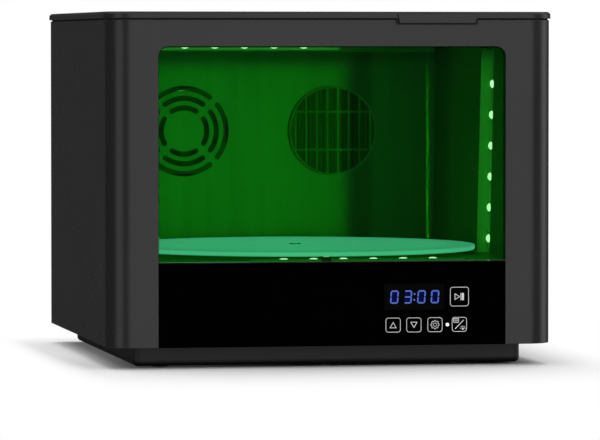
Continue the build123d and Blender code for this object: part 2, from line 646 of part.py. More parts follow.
with BuildPart() as vent_grille:
    with BuildSketch(facing_front(VENT_X, BACK_REAR, VENT_Z)):
        Circle(VENT_RADIUS)
        Circle(VENT_RADIUS - GRILLE_RING, mode=Mode.SUBTRACT)
    extrude(amount=BACK_SHEET + GRILLE_RISE)
    with BuildSketch(facing_front(VENT_X, GRILLE_FRONT + GRILLE_SHEET, VENT_Z)):
        for bar_x in spread(GRILLE_UPRIGHTS, GRILLE_PITCH):
            reach = 2 * (VENT_RADIUS ** 2 - (abs(bar_x) + GRILLE_BAR / 2) ** 2) ** 0.5
            with Locations((bar_x, 0)):
                Rectangle(GRILLE_BAR, reach - GRILLE_RING)
        for rail_z in (-GRILLE_RAIL_Z, GRILLE_RAIL_Z):
            reach = 2 * (VENT_RADIUS ** 2 - (GRILLE_RAIL_Z + GRILLE_BAR / 2) ** 2) ** 0.5
            with Locations((0, rail_z)):
                Rectangle(reach - GRILLE_RING, GRILLE_BAR)
    extrude(amount=GRILLE_SHEET)
save(vent_grille, "vent_grille")

FILTER_RADIUS = VENT_RADIUS - GRILLE_RING - FIT_GAP
FILTER_FRONT = GRILLE_FRONT + GRILLE_SHEET + FIT_GAP / 2

with BuildPart() as vent_filter:
    with BuildSketch(facing_front(VENT_X, BACK_REAR, VENT_Z)):
        Circle(FILTER_RADIUS)
    extrude(amount=BACK_REAR - FILTER_FRONT)
    with BuildSketch(facing_front(VENT_X, FILTER_FRONT, VENT_Z)):
        for pleat_x in spread(FILTER_PLEATS, FILTER_PITCH):
            with Locations((pleat_x, 0)):
                Rectangle(FILTER_PITCH - FILTER_PLEAT, 2 * FILTER_RADIUS)
    extrude(amount=FILTER_FRONT + FILTER_SKIN - BACK_REAR, mode=Mode.SUBTRACT)
save(vent_filter, "vent_filter")

# ================================================================ window and controls
with BuildPart() as window_pane:
    with BuildSketch(facing_front(0, PANE_BACK, 0)) as pane_shape:
        with Locations((0, (FASCIA_TOP + WINDOW_TOP) / 2)):
            Rectangle(PANE_WIDTH, WINDOW_TOP - FASCIA_TOP)
        fillet(pane_shape.vertices().group_by(Axis.Y)[-1], WINDOW_CORNER)
    extrude(amount=PANE_SHEET)
save(window_pane, "window_pane")

FASCIA_RIGHT = PANE_WIDTH / 2
DISPLAY_X = FASCIA_RIGHT - DISPLAY_INSET - DISPLAY_WIDTH / 2
DISPLAY_Z = BODY_BOTTOM + DISPLAY_RISE + DISPLAY_HEIGHT / 2
KEY_ROW_Z = BODY_BOTTOM + KEY_ROW_RISE
KEY_INSETS = (UP_KEY_INSET, DOWN_KEY_INSET, PROGRAM_KEY_INSET, MODE_KEY_INSET)
KEY_SPOTS = [(FASCIA_RIGHT - inset, KEY_ROW_Z) for inset in KEY_INSETS]
KEY_SPOTS.append((FASCIA_RIGHT - MODE_KEY_INSET, BODY_BOTTOM + START_KEY_RISE))
LENS_BACK = LENS_SHEET - HALF_D
MODULE_BACK = LENS_BACK + FIT_GAP / 2 + MODULE_DEPTH

with BuildPart() as control_fascia:
    with BuildSketch(facing_front(0, PANE_BACK, (BODY_BOTTOM + FASCIA_TOP - PANE_GAP) / 2)):
        Rectangle(PANE_WIDTH, FASCIA_TOP - PANE_GAP - BODY_BOTTOM)
    extrude(amount=PANE_SHEET)
    with BuildSketch(facing_front(DISPLAY_X, PANE_BACK, DISPLAY_Z)):
        RectangleRounded(DISPLAY_WIDTH + 2 * PANE_GAP, DISPLAY_HEIGHT + 2 * PANE_GAP, DISPLAY_CORNER)
    extrude(amount=PANE_SHEET, mode=Mode.SUBTRACT)
save(control_fascia, "control_fascia")

with BuildPart() as display_window:
    with BuildSketch(facing_front(DISPLAY_X, LENS_BACK, DISPLAY_Z)):
        RectangleRounded(DISPLAY_WIDTH, DISPLAY_HEIGHT, DISPLAY_CORNER)
    extrude(amount=LENS_SHEET)
save(display_window, "display_window")

with BuildPart() as display_module:
    with BuildSketch(facing_front(DISPLAY_X, MODULE_BACK, DISPLAY_Z)):
        Rectangle(MODULE_WIDTH, MODULE_HEIGHT)
    extrude(amount=MODULE_DEPTH)
save(display_module, "display_module")

with BuildPart() as control_board:
    board_x = FASCIA_RIGHT - CONTROL_BOARD_INSET - CONTROL_BOARD_WIDTH / 2
    board_z = BODY_BOTTOM + CONTROL_BOARD_RISE + CONTROL_BOARD_HEIGHT / 2
    with BuildSketch(facing_front(board_x, MODULE_BACK + BOARD_SHEET, board_z)):
        RectangleRounded(CONTROL_BOARD_WIDTH, CONTROL_BOARD_HEIGHT, BOARD_CORNER)
    extrude(amount=BOARD_SHEET)
    with BuildSketch(facing_front(board_x, MODULE_BACK + BOARD_SHEET + MCU_RISE, board_z)):
        Rectangle(MCU_SIZE, MCU_SIZE)
    extrude(amount=MCU_RISE)
save(control_board, "control_board")

with BuildPart() as touch_pads:
    with BuildSketch(facing_front(0, MODULE_BACK, 0)):
        with Locations(*KEY_SPOTS):
            Circle(KEY_RADIUS)
    extrude(amount=MODULE_BACK - PANE_BACK)
save(touch_pads, "touch_pads")

# ================================================================ light strips
TOP_BAR_FACE = BACK_FRONT - TOP_BAR_DEPTH
TOP_LENS_FACE = TOP_BAR_FACE - TOP_LENS_SHEET
TOP_BAR_HALF = liner_half_width(TOP_BAR_LOW) - TOP_BAR_SIDE_GAP
TOP_BAR_NOSE = TOP_BAR_FACE - TOP_BAR_REACH

with BuildPart() as top_light_bar:
    with BuildSketch(facing_side(-TOP_BAR_HALF, 0, TOP_BAR_LOW)):
        with BuildLine():
            Polyline(
                (BACK_FRONT, 0),
                (TOP_BAR_FACE + TOP_BAR_EDGE, 0),
                (TOP_BAR_FACE, TOP_BAR_EDGE),
                (TOP_BAR_FACE, TOP_BAR_STEP),
                (TOP_BAR_NOSE, TOP_BAR_STEP),
                (TOP_BAR_NOSE, TOP_BAR_HEIGHT - TOP_BAR_EDGE),
                (TOP_BAR_NOSE + TOP_BAR_EDGE, TOP_BAR_HEIGHT),
                (BACK_FRONT, TOP_BAR_HEIGHT),
                close=True,
            )
        make_face()
    extrude(amount=2 * TOP_BAR_HALF)
save(top_light_bar, "top_light_bar")

with BuildPart() as top_light_lens:
    with BuildSketch(facing_front(0, TOP_BAR_FACE, 0)):
        with BuildLine():
            Polyline(
                (TOP_LENS_LEFT, TOP_BAR_LOW + TOP_BAR_EDGE),
                (TOP_LENS_RIGHT, TOP_BAR_LOW + TOP_BAR_EDGE),
                (TOP_LENS_RIGHT + TOP_LENS_END, TOP_BAR_LOW + TOP_BAR_STEP),
                (TOP_LENS_LEFT - TOP_LENS_END, TOP_BAR_LOW + TOP_BAR_STEP),
                close=True,
            )
        make_face()
    extrude(amount=TOP_LENS_SHEET)
save(top_light_lens, "top_light_lens")

TOP_LED_SEAT = TOP_BAR_LOW + TOP_BAR_STEP
TOP_LED_Y = (TOP_LENS_FACE + TOP_BAR_NOSE) / 2

with BuildPart() as top_leds:
    shelf_under = Plane(origin=(TOP_LED_OFFSET, TOP_LED_Y, TOP_LED_SEAT), x_dir=(1, 0, 0), z_dir=(0, 0, -1))
    with BuildSketch(shelf_under):
        with GridLocations(TOP_LED_PITCH, 0, TOP_LED_COUNT, 1):
            Circle(LED_RADIUS)
    extrude(amount=LOW_LED_RISE)
    chamfer(top_leds.faces().sort_by(Axis.Z)[:TOP_LED_COUNT].edges(), length=LOW_LED_CROWN)
save(top_leds, "top_leds")

FLOOR_BAR_Y = FLOOR_BAR_BACK - FLOOR_BAR_WIDTH / 2
FLOOR_LED_SEAT = FLOOR_TOP + FLOOR_BAR_RISE

with BuildPart() as floor_light_bar:
    with BuildSketch(Plane.XY.offset(FLOOR_TOP)):
        with Locations((FLOOR_BAR_OFFSET, FLOOR_BAR_Y)):
            RectangleRounded(FLOOR_BAR_LENGTH, FLOOR_BAR_WIDTH, FLOOR_BAR_WIDTH / 3)
    extrude(amount=FLOOR_BAR_RISE)
save(floor_light_bar, "floor_light_bar")

with BuildPart() as floor_leds:
    with BuildSketch(Plane.XY.offset(FLOOR_LED_SEAT)):
        with Locations((FLOOR_BAR_OFFSET, FLOOR_BAR_Y)):
            with GridLocations(FLOOR_LED_PITCH, 0, FLOOR_LED_COUNT, 1):
                Circle(LED_RADIUS)
    extrude(amount=LOW_LED_RISE)
    chamfer(floor_leds.faces().sort_by(Axis.Z)[-FLOOR_LED_COUNT:].edges(), length=LOW_LED_CROWN)
save(floor_leds, "floor_leds")

with BuildPart() as chamber_sensor:
    with BuildSketch(Plane.XY.offset(FLOOR_LED_SEAT)):
        with Locations((SENSOR_X, FLOOR_BAR_Y)):
            Rectangle(SENSOR_WIDTH, SENSOR_WIDTH)
    extrude(amount=SENSOR_RISE)
save(chamber_sensor, "chamber_sensor")

# ================================================================ turntable and its drive
TABLE_PLANE = Plane(origin=(0, TABLE_CENTRE_Y, 0))

with BuildPart() as turntable_disc:
    with BuildSketch(TABLE_PLANE.offset(TABLE_LOW)):
        Circle(TABLE_RADIUS)
        Circle(CAP_STEM_RADIUS + FIT_GAP, mode=Mode.SUBTRACT)
    extrude(amount=TABLE_SHEET)
    rims = turntable_disc.edges().filter_by(GeomType.CIRCLE).sort_by(SortBy.RADIUS)[-2:]
    chamfer(rims, length=TABLE_EDGE)
save(turntable_disc, "turntable_disc")

with BuildPart() as turntable_cap:
    with BuildSketch(TABLE_PLANE.offset(TABLE_TOP)):
        Circle(CAP_RADIUS)
    extrude(amount=CAP_RISE, taper=CAP_TAPER)
    with BuildSketch(TABLE_PLANE.offset(TABLE_TOP)):
        Circle(CAP_STEM_RADIUS)
    extrude(amount=-TABLE_SHEET)
save(turntable_cap, "turntable_cap")

with BuildPart() as turntable_hub:
    with BuildSketch(TABLE_PLANE.offset(TABLE_LOW)):
        Circle(HUB_RADIUS)
    extrude(amount=-HUB_SHEET)
    with BuildSketch(TABLE_PLANE.offset(TABLE_LOW)):
        Circle(SPINDLE_RADIUS)
    extrude(amount=-(TABLE_LOW - FLOOR_LOW + SPINDLE_REACH))
save(turntable_hub, "turntable_hub")

with BuildPart() as turntable_motor:
    with BuildSketch(TABLE_PLANE.offset(FLOOR_LOW)):
        Circle(GEARBOX_RADIUS)
    extrude(amount=-GEARBOX_HEIGHT)
    with BuildSketch(TABLE_PLANE.offset(FLOOR_LOW)):
        SlotCenterToCenter(EAR_PITCH, 2 * EAR_RADIUS)
        with GridLocations(EAR_PITCH, 0, 2, 1):
            Circle(EAR_HOLE, mode=Mode.SUBTRACT)
    extrude(amount=-EAR_SHEET)
    with BuildSketch(TABLE_PLANE.offset(FLOOR_LOW - GEARBOX_HEIGHT)):
        Circle(MOTOR_RADIUS)
    extrude(amount=-MOTOR_HEIGHT)
    with BuildSketch(TABLE_PLANE.offset(FLOOR_LOW)):
        Circle(MOTOR_NOSE_RADIUS)
    extrude(amount=FLOOR_SHEET - MOTOR_NOSE_DROP)
    with BuildSketch(TABLE_PLANE.offset(FLOOR_TOP - MOTOR_NOSE_DROP)):
        Circle(SPINDLE_RADIUS + SHAFT_GAP)
    extrude(amount=-(FLOOR_SHEET + SPINDLE_REACH + FIT_GAP), mode=Mode.SUBTRACT)
save(turntable_motor, "turntable_motor")

# ================================================================ fans
ROTOR_FRONT = FAN_FRONT + FAN_RUNNING_GAP
STATOR_FRONT = FAN_BACK - FAN_STATOR
ROTOR_BACK = STATOR_FRONT - FAN_RUNNING_GAP
BLADE_MIDDLE_Y = (ROTOR_FRONT + ROTOR_BACK) / 2


def fan_blade(fan_x):
    """One twisted blade from the hub out to its tip, pointing up from the fan's middle."""
    with BuildPart(mode=Mode.PRIVATE) as blade:
        for reach, pitch in ((FAN_HUB_RADIUS - FAN_BLADE_SHEET, FAN_BLADE_ROOT_PITCH),
                             (FAN_DUCT_RADIUS - FAN_TIP_GAP, FAN_BLADE_TIP_PITCH)):
            chord_dir = (cos(radians(pitch)), sin(radians(pitch)), 0)
            root = (fan_x, BLADE_MIDDLE_Y, VENT_Z + reach)
            with BuildSketch(Plane(origin=root, x_dir=chord_dir, z_dir=(0, 0, 1))):
                Rectangle(FAN_BLADE_CHORD, FAN_BLADE_SHEET)
        loft(ruled=True)
    return blade.part


for side, name in ((-1, "left"), (1, "right")):
    fan_x = side * VENT_X
    with BuildPart() as fan_frame:
        for flange_back in (FAN_BACK, FAN_FRONT + FAN_FLANGE):
            with BuildSketch(facing_front(fan_x, flange_back, VENT_Z)):
                RectangleRounded(FAN_SIZE, FAN_SIZE, FAN_CORNER)
                Circle(FAN_DUCT_RADIUS, mode=Mode.SUBTRACT)
                with GridLocations(FAN_HOLE_PITCH, FAN_HOLE_PITCH, 2, 2):
                    Circle(FAN_HOLE_RADIUS, mode=Mode.SUBTRACT)
            extrude(amount=FAN_FLANGE)
        with BuildSketch(facing_front(fan_x, FAN_BACK, VENT_Z)):
            Circle(FAN_DUCT_RADIUS + FAN_DUCT_WALL)
            Circle(FAN_DUCT_RADIUS, mode=Mode.SUBTRACT)
        extrude(amount=FAN_DEPTH)
        with BuildSketch(facing_front(fan_x, FAN_BACK, VENT_Z)):
            Circle(FAN_HUB_RADIUS)
            with PolarLocations((FAN_HUB_RADIUS + FAN_DUCT_RADIUS) / 2, FAN_STRUTS, start_angle=45):
                Rectangle(FAN_DUCT_RADIUS - FAN_HUB_RADIUS + FAN_DUCT_WALL, FAN_STRUT)
            Circle(FAN_SHAFT_RADIUS + SHAFT_GAP, mode=Mode.SUBTRACT)
        extrude(amount=FAN_STATOR)
    save(fan_frame, f"{name}_fan_frame")

    with BuildPart() as fan_rotor:
        with BuildSketch(facing_front(fan_x, ROTOR_BACK, VENT_Z)):
            Circle(FAN_HUB_RADIUS)
        extrude(amount=ROTOR_BACK - ROTOR_FRONT)
        chamfer(fan_rotor.faces().sort_by(Axis.Y)[0].edges(), length=FAN_BLADE_SHEET)
        with BuildSketch(facing_front(fan_x, FAN_BACK - FAN_RUNNING_GAP, VENT_Z)):
            Circle(FAN_SHAFT_RADIUS)
        extrude(amount=FAN_BACK - FAN_RUNNING_GAP - ROTOR_FRONT - FAN_BLADE_SHEET)
        blade = fan_blade(fan_x)
        spin = Axis((fan_x, 0, VENT_Z), (0, 1, 0))
        for index in range(FAN_BLADES):
            add(blade.rotate(spin, index * 360 / FAN_BLADES))
    save(fan_rotor, f"{name}_fan_rotor")

# ================================================================ lid
LID_WIDTH = BODY_WIDTH + 2 * LID_OVERHANG
LID_DEPTH = BODY_DEPTH + 2 * LID_OVERHANG
LID_CORNER = CORNER_RADIUS + LID_OVERHANG
TRAY_FRONT = OPENING_FRONT + TRAY_SIDE_GAP
TRAY_REAR = BACK_FRONT - TRAY_SIDE_GAP
TRAY_HALF = OPENING_HALF - TRAY_SIDE_GAP
TRAY_CENTRE_Y = (TRAY_FRONT + TRAY_REAR) / 2
TRAY_DEPTH = TRAY_REAR - TRAY_FRONT
TRAY_FLANGE = TRAY_SIDE_GAP + SEAL_INSET + SEAL_WIDTH + SEAL_COVER

with BuildPart() as lid_shell:
    with BuildSketch(Plane.XY.offset(LID_LOW)):
        RectangleRounded(LID_WIDTH, LID_DEPTH, LID_CORNER)
    extrude(amount=LID_TOP - LID_LOW)
    chamfer(lid_shell.faces().sort_by(Axis.Z)[-1].edges(), length=LID_CHAMFER)
    with BuildSketch(Plane.XY.offset(LID_LOW)):
        RectangleRounded(LID_WIDTH - 2 * LID_SHEET, LID_DEPTH - 2 * LID_SHEET, LID_CORNER - LID_SHEET)
    extrude(amount=LID_UNDER - LID_LOW, mode=Mode.SUBTRACT)
    for side in (-1, 1):
        with BuildSketch(facing_side(side * HINGE_X - HINGE_POCKET_LENGTH / 2, HINGE_Y, SEAM_Z)):
            Circle(HINGE_POCKET)
            with Locations((0, (LID_UNDER - SEAM_Z) / 2)):
                Rectangle(2 * HINGE_POCKET, LID_UNDER - SEAM_Z)
        extrude(amount=HINGE_POCKET_LENGTH, mode=Mode.SUBTRACT)
save(lid_shell, "lid_shell")

with BuildPart() as lid_tray:
    with BuildSketch(Plane.XY.offset(LID_UNDER - TRAY_SHEET)):
        with Locations((0, TRAY_CENTRE_Y)):
            RectangleRounded(2 * (TRAY_HALF + TRAY_FLANGE), TRAY_DEPTH + 2 * TRAY_FLANGE, TRAY_CORNER)
    extrude(amount=TRAY_SHEET)
    with BuildSketch(Plane.XY.offset(LID_UNDER - TRAY_DROP)):
        with Locations((0, TRAY_CENTRE_Y)):
            RectangleRounded(2 * TRAY_HALF, TRAY_DEPTH, TRAY_CORNER)
    extrude(amount=TRAY_DROP)
    with BuildSketch(Plane.XY.offset(LID_UNDER - TRAY_DROP + TRAY_SHEET)):
        with Locations((0, TRAY_CENTRE_Y)):
            RectangleRounded(2 * (TRAY_HALF - TRAY_SHEET), TRAY_DEPTH - 2 * TRAY_SHEET,
                             TRAY_CORNER - TRAY_SHEET)
    extrude(amount=TRAY_DROP, mode=Mode.SUBTRACT)
save(lid_tray, "lid_tray")

OPENING_CENTRE_Y = (OPENING_FRONT + BACK_FRONT) / 2
OPENING_DEPTH = BACK_FRONT - OPENING_FRONT
SEAL_OUTSET = SEAL_INSET + SEAL_WIDTH

with BuildPart() as lid_seal:
    with BuildSketch(Plane.XY.offset(BODY_TOP)):
        with Locations((0, OPENING_CENTRE_Y)):
            RectangleRounded(2 * (OPENING_HALF + SEAL_OUTSET), OPENING_DEPTH + 2 * SEAL_OUTSET,
                             SEAL_CORNER + SEAL_WIDTH)
            RectangleRounded(2 * (OPENING_HALF + SEAL_INSET), OPENING_DEPTH + 2 * SEAL_INSET,
                             SEAL_CORNER, mode=Mode.SUBTRACT)
    extrude(amount=LID_UNDER - TRAY_SHEET - FIT_GAP / 2 - BODY_TOP)
save(lid_seal, "lid_seal")

PULL_RIGHT = HALF_W - PULL_INSET
PULL_LEFT = PULL_RIGHT - PULL_WIDTH
PULL_LOW = BODY_TOP - PULL_DROP
PULL_HIGH = LID_TOP - PULL_TOP_DROP

with BuildPart() as lid_pull:
    with BuildSketch(facing_front(0, -HALF_D - LID_OVERHANG, 0)):
        with BuildLine():
            Polyline(
                (PULL_LEFT, PULL_HIGH),
                (PULL_LEFT + PULL_TAPER, PULL_LOW),
                (PULL_RIGHT - PULL_TAPER, PULL_LOW),
                (PULL_RIGHT, PULL_HIGH),
                close=True,
            )
        make_face()
    extrude(amount=PULL_RISE)
    with BuildSketch(facing_front(0, -HALF_D - PULL_BODY_GAP, 0)):
        with Locations(((PULL_LEFT + PULL_RIGHT) / 2, (PULL_LOW + LID_LOW) / 2)):
            Rectangle(PULL_RIGHT - PULL_LEFT - 4 * PULL_TAPER, LID_LOW - PULL_LOW)
    extrude(amount=LID_OVERHANG - PULL_BODY_GAP)
    fillet(lid_pull.faces().sort_by(Axis.Y)[0].edges(), radius=PULL_EDGE)
save(lid_pull, "lid_pull")

# ================================================================ lid hinges
MIDDLE_KNUCKLE = HINGE_LENGTH - 2 * HINGE_END_LENGTH - 2 * KNUCKLE_GAP

for side, name in ((-1, "left"), (1, "right")):
    hinge_x = side * HINGE_X
    end_offset = (HINGE_LENGTH - HINGE_END_LENGTH) / 2
    leaf_back = INNER_D - FIT_GAP
    with BuildPart() as hinge_base:
        for end in (-1, 1):
            end_x = hinge_x + end * end_offset
            with BuildSketch(facing_side(end_x - HINGE_END_LENGTH / 2, HINGE_Y, SEAM_Z)):
                Circle(KNUCKLE_RADIUS)
                with Locations(((leaf_back - HINGE_LEAF - HINGE_Y) / 2, HINGE_WEB / 2 - KNUCKLE_RADIUS)):
                    Rectangle(HINGE_Y - leaf_back + HINGE_LEAF, HINGE_WEB)
                Circle(HINGE_PIN_RADIUS, mode=Mode.SUBTRACT)
            extrude(amount=HINGE_END_LENGTH)
        leaf_top = SEAM_Z - KNUCKLE_RADIUS + HINGE_WEB
        with BuildSketch(facing_front(hinge_x, leaf_back, leaf_top - HINGE_LEAF_DROP / 2)):
            Rectangle(HINGE_LENGTH, HINGE_LEAF_DROP)
        extrude(amount=HINGE_LEAF)
    save(hinge_base, f"{name}_hinge_base")

    with BuildPart() as hinge_leaf:
        with BuildSketch(facing_side(hinge_x - MIDDLE_KNUCKLE / 2, HINGE_Y, SEAM_Z)):
            Circle(KNUCKLE_RADIUS)
            leaf_rise = LID_UNDER - SEAM_Z
            with Locations((-HINGE_LEAF_REACH / 2, leaf_rise - HINGE_LEAF / 2)):
                Rectangle(HINGE_LEAF_REACH, HINGE_LEAF)
            with Locations((-HINGE_LEAF / 2, leaf_rise / 2)):
                Rectangle(HINGE_LEAF, leaf_rise)
            Circle(HINGE_PIN_RADIUS + SHAFT_GAP, mode=Mode.SUBTRACT)
        extrude(amount=MIDDLE_KNUCKLE)
    save(hinge_leaf, f"{name}_hinge_leaf")

    with BuildPart() as hinge_pin:
        with BuildSketch(facing_side(hinge_x - HINGE_LENGTH / 2, HINGE_Y, SEAM_Z)):
            Circle(HINGE_PIN_RADIUS)
        extrude(amount=HINGE_LENGTH)
    save(hinge_pin, f"{name}_hinge_pin")

# ================================================================ lid interlock
INTERLOCK_X = INTERLOCK_INSET - HALF_W
INTERLOCK_Y = FIT_GAP + INTERLOCK_DEPTH / 2 - INNER_D

with BuildPart() as lid_switch:
    with BuildSketch(Plane.XY.offset(DECK_LOW)):
        with Locations((INTERLOCK_X, INTERLOCK_Y)):
            Rectangle(INTERLOCK_WIDTH, INTERLOCK_DEPTH)
    extrude(amount=-INTERLOCK_HEIGHT)
save(lid_switch, "lid_switch")

# ================================================================ power inlet and switch

with BuildPart() as power_inlet:
    with BuildSketch(facing_front(INLET_X, SOCKET_MOUTH, INLET_Z)):
        RectangleRounded(INLET_WIDTH + 2 * INLET_FLANGE, INLET_HEIGHT + 2 * INLET_FLANGE, INLET_CORNER)
    extrude(amount=INLET_FLANGE_SHEET)
    with BuildSketch(facing_front(INLET_X, HALF_D, INLET_Z)):
        Rectangle(INLET_WIDTH, INLET_HEIGHT)
    extrude(amount=INLET_DEPTH)
    with BuildSketch(facing_front(INLET_X, SOCKET_MOUTH, INLET_Z)):
        RectangleRounded(INLET_WIDTH - 2 * INLET_WALL, INLET_HEIGHT - 2 * INLET_WALL, INLET_CORNER)
    extrude(amount=INLET_DEPTH + INLET_FLANGE_SHEET - INLET_WALL, mode=Mode.SUBTRACT)
    with BuildSketch(facing_front(INLET_X, SOCKET_MOUTH - PIN_SHORT, INLET_Z)):
        with Locations((-PIN_PITCH, -PIN_OFFSET), (0, PIN_OFFSET), (PIN_PITCH, -PIN_OFFSET)):
            Rectangle(PIN_WIDTH, PIN_HEIGHT)
    extrude(amount=INLET_DEPTH + INLET_FLANGE_SHEET - PIN_SHORT)
save(power_inlet, "power_inlet")

SWITCH_FACE = HALF_D + SWITCH_FLANGE_SHEET
ROCKER_PIVOT_Y = SWITCH_FACE - ROCKER_PIVOT_DEPTH
SWITCH_CAVITY_W = SWITCH_WIDTH - 2 * INLET_WALL
SWITCH_CAVITY_H = SWITCH_HEIGHT - 2 * INLET_WALL

with BuildPart() as switch_body:
    with BuildSketch(facing_front(SWITCH_X, SWITCH_FACE, INLET_Z)):
        Rectangle(SWITCH_WIDTH + 2 * SWITCH_FLANGE, SWITCH_HEIGHT + 2 * SWITCH_FLANGE)
    extrude(amount=SWITCH_FLANGE_SHEET)
    with BuildSketch(facing_front(SWITCH_X, HALF_D, INLET_Z)):
        Rectangle(SWITCH_WIDTH, SWITCH_HEIGHT)
    extrude(amount=SWITCH_DEPTH)
    with BuildSketch(facing_front(SWITCH_X, SWITCH_FACE, INLET_Z)):
        Rectangle(SWITCH_CAVITY_W, SWITCH_CAVITY_H)
    extrude(amount=SWITCH_DEPTH + SWITCH_FLANGE_SHEET - INLET_WALL, mode=Mode.SUBTRACT)
    with BuildSketch(Plane(origin=(SWITCH_X, ROCKER_PIVOT_Y, INLET_Z - SWITCH_HEIGHT / 2))):
        Circle(ROCKER_PIN_RADIUS)
    extrude(amount=SWITCH_HEIGHT)
save(switch_body, "switch_body")

with BuildPart() as rocker_block:
    half_long = SWITCH_CAVITY_W / 2 - ROCKER_GAP
    face_long = half_long - ROCKER_TAPER
    crown_y = ROCKER_PIVOT_DEPTH + ROCKER_CROWN
    with BuildSketch(Plane(origin=(SWITCH_X, ROCKER_PIVOT_Y, INLET_Z - SWITCH_CAVITY_H / 2 + ROCKER_GAP))):
        with BuildLine():
            Polyline((-face_long, crown_y), (-half_long, crown_y - ROCKER_THICK),
                     (half_long, crown_y - ROCKER_THICK), (face_long, crown_y))
            ThreePointArc((face_long, crown_y), (0, crown_y - ROCKER_CROWN), (-face_long, crown_y))
        make_face()
        Circle(ROCKER_PIN_RADIUS + SHAFT_GAP, mode=Mode.SUBTRACT)
    extrude(amount=SWITCH_CAVITY_H - 2 * ROCKER_GAP)

with BuildPart() as rocker:
    rocker_axis = Axis((SWITCH_X, ROCKER_PIVOT_Y, INLET_Z), (0, 0, 1))
    add(rocker_block.part.rotate(rocker_axis, -ROCKER_TILT))
save(rocker, "power_rocker")

# ================================================================ electronics in the lower bay
SUPPLY_X = SUPPLY_SIDE_GAP + SUPPLY_WIDTH / 2 - HALF_W
SUPPLY_Y = HALF_D - SUPPLY_REAR_GAP - SUPPLY_DEPTH / 2
DRIVER_X = HALF_W - DRIVER_SIDE_GAP - DRIVER_WIDTH / 2
DRIVER_Y = HALF_D - DRIVER_REAR_GAP - DRIVER_DEPTH / 2

with BuildPart() as power_supply:
    with BuildSketch(Plane.XY.offset(PAN_TOP)):
        with Locations((SUPPLY_X, SUPPLY_Y)):
            Rectangle(SUPPLY_WIDTH, SUPPLY_DEPTH)
    extrude(amount=SUPPLY_HEIGHT)
    with BuildSketch(Plane.XY.offset(PAN_TOP + SUPPLY_HEIGHT)):
        with Locations((SUPPLY_X, SUPPLY_Y)):
            with GridLocations(0, SUPPLY_SLOT_PITCH, 1, SUPPLY_SLOTS):
                SlotOverall(SUPPLY_WIDTH / 2, SUPPLY_SLOT)
    extrude(amount=-SUPPLY_SHEET, mode=Mode.SUBTRACT)
save(power_supply, "power_supply")

with BuildPart() as driver_board:
    with BuildSketch(Plane.XY.offset(PAN_TOP + STANDOFF_HEIGHT)):
        with Locations((DRIVER_X, DRIVER_Y)):
            RectangleRounded(DRIVER_WIDTH, DRIVER_DEPTH, BOARD_CORNER)
    extrude(amount=BOARD_SHEET)
    with BuildSketch(Plane.XY.offset(PAN_TOP)):
        with Locations((DRIVER_X, DRIVER_Y)):
            with GridLocations(DRIVER_WIDTH - 4 * STANDOFF_RADIUS, DRIVER_DEPTH - 4 * STANDOFF_RADIUS, 2, 2):
                Circle(STANDOFF_RADIUS)
    extrude(amount=STANDOFF_HEIGHT)
    with BuildSketch(Plane.XY.offset(PAN_TOP + STANDOFF_HEIGHT + BOARD_SHEET)):
        with Locations((DRIVER_X - DRIVER_WIDTH / 4, DRIVER_Y)):
            with GridLocations(0, COIL_PITCH, 1, COIL_COUNT):
                Circle(COIL_RADIUS)
    extrude(amount=COIL_HEIGHT)
    with BuildSketch(Plane.XY.offset(PAN_TOP + STANDOFF_HEIGHT + BOARD_SHEET)):
        with Locations((DRIVER_X + DRIVER_WIDTH / 4, DRIVER_Y)):
            Rectangle(HEATSINK_WIDTH, DRIVER_DEPTH / 2)
    extrude(amount=HEATSINK_HEIGHT)
    with BuildSketch(Plane.XY.offset(PAN_TOP + STANDOFF_HEIGHT + 2 * BOARD_SHEET)):
        with Locations((DRIVER_X + DRIVER_WIDTH / 4, DRIVER_Y)):
            with GridLocations(2 * HEATSINK_FIN, 0, HEATSINK_FINS - 1, 1):
                Rectangle(HEATSINK_FIN, DRIVER_DEPTH / 2)
    extrude(amount=HEATSINK_HEIGHT, mode=Mode.SUBTRACT)
save(driver_board, "driver_board")
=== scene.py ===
"""Dressed model of a bench-top light curing unit: finishes, markings, fasteners, studio and camera."""

import logging
import math
from dataclasses import dataclass
from enum import Enum
from typing import ClassVar

import bmesh
import bpy
import numpy as np
from mathutils import Matrix, Vector


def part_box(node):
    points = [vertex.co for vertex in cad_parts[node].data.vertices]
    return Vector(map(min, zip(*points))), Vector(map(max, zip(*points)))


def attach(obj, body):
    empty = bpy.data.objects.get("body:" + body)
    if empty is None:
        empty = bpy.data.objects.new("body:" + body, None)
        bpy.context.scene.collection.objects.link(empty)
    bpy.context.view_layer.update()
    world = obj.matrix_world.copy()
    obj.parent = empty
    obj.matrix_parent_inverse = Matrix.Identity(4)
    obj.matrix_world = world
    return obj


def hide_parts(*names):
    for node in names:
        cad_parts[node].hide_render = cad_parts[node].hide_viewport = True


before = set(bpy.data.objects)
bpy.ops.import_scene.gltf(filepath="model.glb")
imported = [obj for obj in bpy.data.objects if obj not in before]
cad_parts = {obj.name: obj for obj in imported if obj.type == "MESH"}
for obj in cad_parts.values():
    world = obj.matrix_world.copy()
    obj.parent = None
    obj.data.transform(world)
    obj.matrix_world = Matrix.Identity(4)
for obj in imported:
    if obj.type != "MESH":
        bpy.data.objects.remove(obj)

LOG = logging.getLogger("curing_unit")
MM = 0.001
PRINT_DEPTH = 0.06
BLACK = (0.0, 0.0, 0.0)
Colour = tuple[float, float, float]
Pair = tuple[float, float]
Place = tuple[float, float, float]
Softened = tuple[tuple, ...]
Dressed = tuple[tuple[str, str], ...]
Material = bpy.types.Material
Socket = bpy.types.NodeSocket
Sockets = bpy.types.bpy_prop_collection


